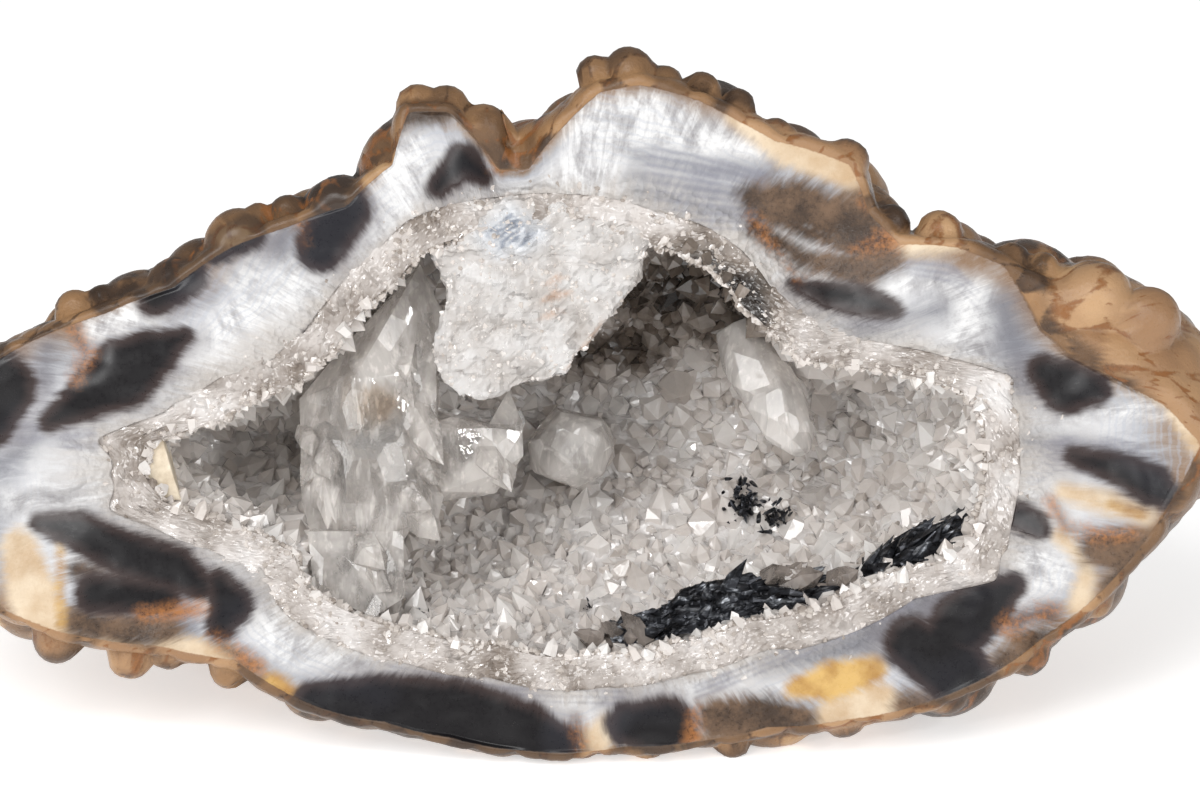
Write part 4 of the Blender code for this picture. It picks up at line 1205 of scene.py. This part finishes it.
clear_finish = clear_material("clear_quartz", (0.90, 0.85, 0.805), 0.82, 0.5, 0.015, 4.0, 0.04, 0.4)
settle(clear_group, clear_finish, "clear_quartz", "clear_crystals")

# %% [markdown]
# A large quartz crystal is rarely one smooth prism. Smaller points have grown on its front, most of them
# leaning the same way, and their edges make the bright lines there.

# %% Small points on the clear crystals
GROWTH_LINES = (
    ((-23.6, -1.0, -3.6), (-22.8, -9.6, -3.8), 9, (1.0, 2.0)),
    ((-16.6, 5.0, -3.8), (-15.4, -9.0, -3.6), 12, (0.9, 1.9)),
    ((-20.4, -9.0, -3.2), (-18.4, -15.0, -2.6), 9, (0.9, 1.8)),
    ((-13.4, -1.6, -5.6), (-9.0, -4.6, -5.8), 7, (0.8, 1.5)),
)
GROWTH_LEAN = ((0.15, 0.3), (-0.7, 0.3), (0.5, 0.2))
point_chance = random.Random(SEEDS["points"])
growth_spots = []
for start, end, count, reach in GROWTH_LINES:
    for _ in range(count):
        place = np.array(start) + (np.array(end) - start) * point_chance.random()
        place += [point_chance.gauss(0, 0.8), point_chance.gauss(0, 0.5), -0.9]
        direction = [point_chance.gauss(*lean) for lean in GROWTH_LEAN]
        size, stretch = point_chance.uniform(*reach), point_chance.uniform(1.0, 1.9)
        growth_spots.append((place, direction, size, stretch, 0.5))
growth_points = crystals_mesh("growth_points", growth_spots)
settle(growth_points, clear_finish, "clear_quartz")

# %% [markdown]
# Inside, healed cracks hang like veils. Each is a thin, crumpled lens of white, set at a few common angles
# within the hull of its crystal, and it catches the light that passes through.

# %% Veils inside the clear crystals
veil_chance = random.Random(SEEDS["veils"])
VEIL_CRUMPLE = 0.08
VEIL_DIRECTIONS = ((0.3, 0.1, 1.0), (1.0, 0.35, 0.35), (-0.35, 1.0, 0.4), (0.7, -0.7, 0.6))


def veils(name, blocks, counts, reach):
    bm = bmesh.new()
    for block, count in zip(blocks, counts):
        corners = np.array(block)
        for _ in range(count):
            weights = np.array([veil_chance.random() for _ in corners]) + 0.25
            place = (corners * (weights / weights.sum())[:, None]).sum(0)
            size = veil_chance.uniform(*reach)
            lean = Vector(VEIL_DIRECTIONS[veil_chance.randrange(4)]) + shake(veil_chance, 0.2)
            spin = Matrix.Rotation(veil_chance.uniform(0, 6.3), 3, "Z")
            turn = lean.to_track_quat("Z", "Y").to_matrix() @ spin
            scale = Vector((size, size * veil_chance.uniform(0.35, 0.8), 0.035))
            made = bmesh.ops.create_icosphere(bm, subdivisions=2, radius=1)["verts"]
            for vert in made:
                crumple = noise.noise(Vector(vert.co) * 2.0 + Vector(place))
                local = vert.co * scale + Vector((0, 0, crumple * VEIL_CRUMPLE))
                edge = 1 + 0.35 * noise.noise(Vector((vert.co.x, vert.co.y, 0)) * 3.0 + Vector(place))
                local.xy *= edge
                vert.co = rim_to_world(np.array(turn @ local) + place)
    return to_object(name, bm)


clear_veils = veils("clear_veils", clear_blocks, (26, 7, 8, 2), (0.5, 2.4))
veil_material, veil_tree, veil_shader = new_material("veils")
veil_cloud = soft_mask(grain(millimetres(veil_tree), 1.2, 5.0, 0.7), 0.35, 0.7, 0.55, 0.95)
wire(veil_shader, Base_Color=(0.93, 0.92, 0.91), Roughness=0.25, IOR=1.3, Transmission_Weight=veil_cloud)
settle(clear_veils, veil_material, "clear_quartz")

# %% [markdown]
# ## The hanging slab
# A frosted slab of quartz hangs across the top of the hollow. Its body is the two overlapping hulls of the
# frame and a thin root over the edge, joined, remeshed finely and broken into flakes.

# %% Hanging slab
HANGING_UPPER = (
    (-14.2, 14.4, -0.8), (-12.6, 10.0, -1.0), (-0.6, 7.4, -0.9), (3.2, 11.6, -0.9), (3.6, 15.2, -0.8),
    (-4.0, 16.6, -0.4), (-5.5, 11.0, -0.2), (-14.0, 14.6, -7.0), (-12.0, 9.6, -5.6),
    (-0.8, 8.0, -5.4), (3.2, 12.0, -6.4), (3.4, 15.4, -7.4), (-4.0, 17.0, -8.4),
)
HANGING_LOWER = (
    (-13.0, 10.6, -1.2), (-14.2, 4.4, -1.8), (-11.7, 1.4, -2.4), (-8.9, 2.8, -2.0), (-2.8, 3.7, -1.8),
    (-1.5, 5.5, -1.4), (0.8, 9.4, -1.2), (-7.0, 7.0, -0.4), (-12.6, 9.0, -4.6), (-11.6, 2.0, -4.0),
    (-3.0, 4.3, -4.2), (0.2, 9.0, -5.0),
)


def remeshed(obj, voxel):
    modifier = obj.modifiers.new("remesh", "REMESH")
    modifier.mode = "VOXEL"
    modifier.voxel_size = voxel * MM
    bpy.context.view_layer.update()
    mesh = bpy.data.meshes.new_from_object(obj.evaluated_get(bpy.context.evaluated_depsgraph_get()))
    obj.modifiers.clear()
    obj.data = mesh
    return obj


def roughened(obj, amount, scale, flakes, smooth_turns=2):
    bm = bmesh.new()
    bm.from_mesh(obj.data)
    axes = {"use_axis_" + axis: True for axis in "xyz"}
    for _ in range(smooth_turns):
        bmesh.ops.smooth_vert(bm, verts=bm.verts, factor=0.5, **axes)
    bm.normal_update()
    moves = []
    for vert in bm.verts:
        place = vert.co / MM
        steps = noise.fractal(place * scale, 0.9, 2.0, 3)
        broken = flake(place, flakes) + 0.6 * flake(place, flakes * 2.3)
        moves.append(vert.normal * (steps + broken) * amount * MM)
    for vert, move in zip(bm.verts, moves):
        vert.co += move
    bm.to_mesh(obj.data)
    bm.free()


SLAB_ROOT = (
    (-13.6, 14.0, 0.25), (-12.0, 17.4, 0.1), (-7.5, 18.6, 0.1), (-1.0, 18.0, 0.1), (4.6, 16.6, 0.1),
    (4.0, 13.4, 0.2), (-6.0, 14.5, 0.9), (-13.0, 13.6, -2.0), (-7.5, 18.4, -2.0), (4.0, 15.8, -2.0),
    (3.4, 13.0, -2.0),
)
SLAB_VOXEL = 0.36
slab = joined("hanging_slab", (HANGING_UPPER, HANGING_LOWER, SLAB_ROOT))
remeshed(slab, SLAB_VOXEL)
roughened(slab, amount=0.42, scale=0.4, flakes=0.45)
slab_places = world_to_rim(np.array([vert.co for vert in slab.data.vertices]))
AMBER_BANDS = (
    ((-5.2, 8.4, -0.1), (-4.0, 8.9, 0.2), (-2.8, 9.0, -0.1)),
    ((-5.0, 9.8, -0.1), (-3.8, 10.4, 0.3), (-2.4, 10.6, 0.0)),
    ((-4.8, 11.2, -0.1), (-3.6, 11.8, 0.2), (-2.6, 11.9, -0.1)),
    ((-3.2, 3.9, -0.2), (-1.6, 5.2, 0.3), (0.4, 8.6, -0.1)),
)
EYE_LINES = fan(5, (-9.6, 15.4, 0.05, 0.3, 0.3), (-7.4, 17.0, 0.14, 0, 0.55), (-5.2, 15.6, 0.05, -0.3, 0.3))
store(slab, "amber", stroke_distance(slab_places[:, :2], AMBER_BANDS))
store(slab, "eye", stroke_distance(slab_places[:, :2], EYE_LINES))

# %% [markdown]
# The skin of the slab is a coat of tiny crystals, which is what frosts it. Bands of amber and an eye of
# fine blue-grey lines are colour.

# %% Frost on the slab
FROST_CRYSTALS = 1500
frost = random.Random(SEEDS["frost"])
slab.data.calc_loop_triangles()
frost_spots = []
slab_normals = np.array([vert.normal for vert in slab.data.vertices])
chosen = frost.sample(range(len(slab_places)), FROST_CRYSTALS)
sine, cosine = math.sin(LEAN), math.cos(LEAN)
turned = np.array([[1, 0, 0], [0, sine, cosine], [0, -cosine, sine]])
for index in chosen:
    normal = turned @ slab_normals[index]
    size = frost.uniform(0.10, 0.36)
    direction = Vector(normal) + shake(frost, 0.5)
    tone = min(max(frost.gauss(0.74, 0.12), 0.3), 1.0)
    place = slab_places[index] - normal * size * 0.75
    frost_spots.append((place, direction, size, frost.uniform(0.6, 1.0), tone))
slab_frost = crystals_mesh("slab_frost", frost_spots)


FROST_TONES = ((0.25, (0.46, 0.41, 0.37)), (0.45, (0.70, 0.66, 0.63)), (0.7, (0.88, 0.865, 0.855)))


def frosted_material():
    material, tree, shader = new_material("frosted_quartz")
    place = millimetres(tree)
    speck = grain(place, 2.0, 4.0, 0.7)
    colour = ramp(grain(place, 0.35, 5.0), FROST_TONES)
    eye = attribute(tree, "eye")
    colour = blend(soft_mask(eye, -1.6, 0.0, 0.0, 0.9), colour, (0.80, 0.82, 0.855))
    eye_line = soft_mask(plus(eye, times(centred(speck), 0.5)), -0.16, 0.1, 0.0, 0.8)
    colour = blend(eye_line, colour, (0.25, 0.29, 0.37))
    amber = soft_mask(plus(attribute(tree, "amber"), centred(speck)), -0.45, 0.35)
    colour = blend(times(amber, 0.6), colour, (0.66, 0.38, 0.22))
    steps = faceted_normal(place, 1.0, 0.7, bump(speck, 0.1, 0.5))
    wire(shader, Base_Color=colour, Roughness=plus(0.05, times(speck, 0.35)), Normal=steps)
    wire(shader, IOR=QUARTZ_IOR, Transmission_Weight=0.3)
    return material


settle(slab, frosted_material(), "frosted_quartz", "hanging_quartz")
settle(slab_frost, druse_finish, "frosted_quartz")

# %% [markdown]
# ## The milky and the pale crystal
# Two crystals are clouded and partly dissolved, so they have many blunt facets. Each is the hull round a
# few uneven rings of corners, from its root to its tip.

# %% Milky and pale crystals
def ringed(name, rings, seed, flatness=0.85):
    """A crystal through rings of corners. A ring is its middle in the face frame and its radius."""
    chance = random.Random(seed)
    corners = []
    middles = [Vector(middle) for middle, _ in rings]
    axis = (middles[-1] - middles[0]).normalized()
    side = axis.cross(Vector((0, 1, 0.2))).normalized()
    other = axis.cross(side)
    for place, (middle, radius) in enumerate(rings):
        for turn in range(6):
            angle = 0.4 + turn * math.pi / 3 + chance.uniform(-0.2, 0.2) + 0.3 * place
            reach = radius * chance.uniform(0.86, 1.04)
            out = side * math.cos(angle) * reach + other * math.sin(angle) * reach * flatness
            corners.append(tuple(Vector(middle) + out + axis * chance.uniform(-0.3, 0.3)))
    return hull(name, corners)


MILKY_RINGS = (
    ((-2.6, -3.5, -22.0), 4.2), ((-2.3, -2.9, -15.2), 4.3), ((-2.2, -2.8, -13.0), 3.8),
    ((-2.0, -2.6, -11.7), 2.2),
)
PALE_RINGS = (
    ((12.2, 7.4, -14.4), 2.4), ((13.2, 5.0, -13.6), 3.0), ((15.2, 1.4, -11.6), 3.3),
    ((16.6, -1.6, -10.4), 2.5), ((17.3, -3.2, -9.8), 1.0),
)
milky_finish = clear_material("milky_quartz", (0.86, 0.815, 0.775), 0.62, 0.4, 0.04, 6.0, 0.1, 0.6)
for name, rings, seed, node in (
    ("milky_point", MILKY_RINGS, 5, "milky_crystal"), ("pale_point", PALE_RINGS, 8, "pale_crystal"),
):
    obj = ringed(name, rings, seed)
    bevelled(obj, 0.22)
    settle(obj, milky_finish, "milky_quartz", node)
    inner = veils(name + "_veils", [[middle for middle, _ in rings[1:]]], [9], (0.6, 1.8))
    settle(inner, veil_material, "milky_quartz")

# %% [markdown]
# ## A cream plate
# At the left end of the hollow a broken plate of cream chalcedony stands out of the wall. It is one small
# bevelled block, set into the crust.

# %% Cream plate at the left end
CREAM_PLATE = (
    (-38.6, -1.4, -0.4), (-36.5, -1.6, -0.8), (-35.8, -4.2, -0.8), (-35.0, -6.8, -1.2), (-36.8, -6.6, -0.8),
    (-38.4, -4.0, -0.4), (-38.2, -1.6, -6.0), (-36.6, -1.9, -6.0), (-35.6, -6.4, -6.0), (-37.4, -6.2, -6.0),
)
cream_plate = hull("cream_plate", CREAM_PLATE)
bevelled(cream_plate, 0.2)
cream_material, cream_tree, cream_shader = new_material("cream_chalcedony")
cream_cloud = grain(millimetres(cream_tree), 0.5, 5.0, 0.6)
cream_colour = ramp(cream_cloud, ((0.3, (0.50, 0.40, 0.28)), (0.6, (0.80, 0.70, 0.55))))
wire(cream_shader, Base_Color=cream_colour, Roughness=0.4, Normal=bump(cream_cloud, 0.3, 0.6))
settle(cream_plate, cream_material, "quartz")

# %% [markdown]
# ## The black mineral
# A ridge of black needles crosses the lower wall, with a thin ledge of the same to the right. It has a dark
# metallic shine. Long narrow crystals packed along the blocks of the frame give its splintery look.

# %% Black ridge and ledge
RIDGE_BLADES = (
    ((0.4, -16.9, -3.0), (5.2, -16.0, -4.0), (4.8, -19.2, -1.6), (0.8, -19.2, -1.8), (2.4, -17.4, -6.8),
     (6.0, -18.2, -6.4)),
    ((4.2, -16.4, -3.2), (7.6, -14.0, -4.4), (11.6, -13.6, -4.2), (11.0, -17.6, -1.4), (5.0, -18.6, -1.6),
     (8.0, -16.4, -8.2)),
    ((9.4, -14.0, -4.0), (12.8, -13.0, -4.8), (14.4, -14.8, -2.6), (12.0, -17.2, -1.2), (9.0, -17.8, -1.4),
     (12.0, -15.0, -8.8)),
    ((13.0, -14.2, -3.6), (16.1, -12.2, -5.2), (18.0, -14.0, -3.4), (17.4, -16.0, -1.2), (12.6, -16.8, -1.2),
     (15.8, -14.0, -8.8)),
    ((16.4, -13.8, -4.2), (19.2, -13.4, -4.8), (20.2, -14.8, -2.4), (19.0, -15.8, -1.0), (15.8, -16.4, -1.2),
     (18.4, -14.2, -7.8)),
)
LEDGE_BLADES = (
    ((20.8, -13.2, -2.6), (24.6, -10.8, -4.0), (25.6, -12.2, -1.4), (21.4, -14.2, -1.4), (23.2, -12.0, -6.6)),
    ((24.0, -11.6, -3.0), (27.6, -8.4, -4.6), (29.4, -11.4, -1.4), (25.0, -12.6, -1.2), (27.0, -9.8, -7.0)),
    ((27.2, -10.4, -3.2), (30.4, -7.8, -4.4), (31.6, -9.6, -1.8), (28.6, -12.0, -1.2), (29.8, -9.0, -7.0)),
)
needle_chance = random.Random(SEEDS["needles"])


def splinters(name, blocks, count, direction, reach):
    """Narrow crystals scattered over the front of the blocks."""
    spots = []
    for place in range(count):
        block = np.array(blocks[place % len(blocks)])
        weights = np.array([needle_chance.random() ** 1.5 for _ in block])
        place = (block * (weights / weights.sum())[:, None]).sum(0)
        lean = shake(needle_chance, 0.28)
        size = needle_chance.uniform(0.25, 0.8)
        tone = needle_chance.random()
        stretch = needle_chance.uniform(*reach)
        spots.append((place, Vector(direction) + lean, size, stretch, tone))
    return crystals_mesh(name, spots)


BLACK_TONES = ((0.40, (0.012, 0.012, 0.014)), (0.56, (0.05, 0.053, 0.062)), (0.70, (0.40, 0.42, 0.45)))


def black_material():
    material, tree, shader = new_material("black_mineral")
    place = millimetres(tree)
    lines = grain(vector_math("MULTIPLY", place, (0.4, 1.4, 1.4)), 1.0, 5.0, 0.6)
    rough = plus(0.16, times(lines, 0.3))
    grooves = faceted_normal(place, 0.9, 0.6, bump(lines, 0.05, 0.8))
    wire(shader, Base_Color=ramp(lines, BLACK_TONES), Roughness=rough, Normal=grooves, Metallic=0.7)
    return material


black_finish = black_material()
BLACK_VOXEL = 0.3
NEEDLE_STRETCH = (1.6, 3.6)
BLACK_PIECES = (
    ("black_ridge", RIDGE_BLADES, 150, (0.9, 0.3, 0.25)), ("black_ledge", LEDGE_BLADES, 90, (0.75, 0.62, 0.2)),
)
for node, blades, _, _ in BLACK_PIECES:
    body = joined(node + "_body", blades)
    remeshed(body, BLACK_VOXEL)
    roughened(body, amount=0.35, scale=0.6, flakes=0.9, smooth_turns=1)
    settle(body, black_finish, "black_mineral", node)
for node, blades, count, direction in BLACK_PIECES:
    needles = splinters(node + "_splinters", blades, count, direction, NEEDLE_STRETCH)
    settle(needles, black_finish, "black_mineral")

# %% [markdown]
# At both ends of the ridge the black mineral runs out into smoky quartz, brown-grey and half clear.

# %% Smoky crystals at the ends of the ridge
SMOKY_LINES = (
    ((15.0, -13.0, -4.2), (20.6, -14.6, -2.6), 16, (0.8, 0.3, 0.5)),
    ((-1.4, -18.2, -2.8), (3.4, -18.4, -2.6), 12, (-0.7, 0.2, 0.6)),
)
smoky_spots = []
for start, end, count, direction in SMOKY_LINES:
    for _ in range(count):
        place = np.array(start) + (np.array(end) - start) * needle_chance.random()
        place += [needle_chance.gauss(0, 0.4), needle_chance.gauss(0, 0.5), needle_chance.gauss(0, 0.4)]
        lean = Vector(direction) + shake(needle_chance, 0.35)
        size, stretch = needle_chance.uniform(0.6, 1.3), needle_chance.uniform(0.9, 1.7)
        smoky_spots.append((place, lean, size, stretch, 0.5))
smoky_crystals = crystals_mesh("smoky_crystals", smoky_spots)
smoky_finish = clear_material("smoky_quartz", (0.36, 0.31, 0.275), 0.7, 0.3, 0.05, 20.0, 0.05, 0.3)
settle(smoky_crystals, smoky_finish, "quartz")

# %% [markdown]
# Two sprays of fine black needles stand on the wall above the ridge, and two specks of them lie at its
# left.

# %% Black sprays on the wall
SPRAYS = ((12.8, -8.5, 90, 1.0), (15.5, -9.9, 70, 0.9), (-1.0, -16.7, 16, 0.4), (-15.0, -17.0, 12, 0.4))


def wall_at(u, v):
    """The place in front of the wall that is seen at (u, v), and the direction out of the wall."""
    index = np.argmin((wall_points[:, 0] - u) ** 2 + (wall_points[:, 1] - v) ** 2)
    return wall_points[index], wall_normals[index]


spray_spots = []
for u, v, count, reach in SPRAYS:
    place, normal = wall_at(u, v)
    for _ in range(count):
        sideways = shake(needle_chance, 1).normalized()
        direction = sideways + Vector(normal) * 0.3
        away = shake(needle_chance, 0.75) * reach
        start = place + normal * 0.5 * reach + np.array(away)
        radius = needle_chance.uniform(0.08, 0.26) * reach
        spray_spots.append((start, direction, radius, needle_chance.uniform(1.4, 3.4), 0.2))
sprays = crystals_mesh("black_sprays", spray_spots)
settle(sprays, black_finish, "black_mineral")

# %% [markdown]
# ## Floor, light and camera
# A plain pale floor runs out of view on all sides. A soft even sky lights the stone from everywhere, a
# large lamp above and one at each side give it form, and three small lamps put the glints on the crystals.
# The camera looks from the photograph's angle, a little above the line square to the face.

# %% Floor
floor_bm = bmesh.new()
bmesh.ops.create_grid(floor_bm, x_segments=1, y_segments=1, size=3.0)
floor = to_object("floor", floor_bm)
floor_material, _, floor_shader = new_material("floor")
wire(floor_shader, Base_Color=(0.93, 0.93, 0.93), Roughness=1.0)
floor_shader.inputs["Emission Color"].default_value = (1, 1, 1, 1)
floor_shader.inputs["Emission Strength"].default_value = 0.5
floor.data.materials.append(floor_material)

# %% Sky and lamps
scene = bpy.context.scene
world = bpy.data.worlds.new("studio")
scene.world = world
world.use_nodes = True
sky = world.node_tree.nodes["Background"]
sky.inputs["Color"].default_value = (1.0, 1.0, 1.0, 1)
sky.inputs["Strength"].default_value = 0.32
scene.view_settings.view_transform = "Standard"
AIM = Vector(rim_to_world(np.array([0.0, 1.8, 0.0])))


def lamp(name, away, size, power):
    """A square lamp at a place given in metres from the middle of the face, looking at it."""
    light = bpy.data.lights.new(name, "AREA")
    light.shape = "SQUARE"
    light.size = size
    light.energy = power
    obj = bpy.data.objects.new(name, light)
    obj.location = AIM + Vector(away)
    obj.rotation_euler = (-Vector(away)).to_track_quat("-Z", "Y").to_euler()
    scene.collection.objects.link(obj)


lamp("overhead", (-0.20, -0.52, 0.60), 0.42, 3.2)
lamp("fill_left", (-0.65, -0.75, 0.30), 0.35, 1.8)
lamp("fill_right", (0.65, -0.75, 0.30), 0.35, 1.8)
lamp("glint_left", (-0.45, -0.55, 0.24), 0.07, 0.5)
lamp("glint_right", (0.50, -0.45, 0.42), 0.07, 0.5)
lamp("glint_front", (0.12, -0.80, 0.30), 0.05, 0.3)

# %% Camera
ELEVATION = math.radians(20)
DISTANCE = 0.333
camera_data = bpy.data.cameras.new("camera")
camera_data.lens = 120
camera_data.sensor_width = 36
camera_data.clip_start = 0.01
camera = bpy.data.objects.new("camera", camera_data)
camera.location = AIM + Vector((0, -math.cos(ELEVATION), math.sin(ELEVATION))) * DISTANCE
camera.rotation_euler = (math.pi / 2 - ELEVATION, 0, 0)
scene.collection.objects.link(camera)
scene.camera = camera
print("the frame shows", round(DISTANCE / 120 * 36 / MM, 1), "mm across the face")
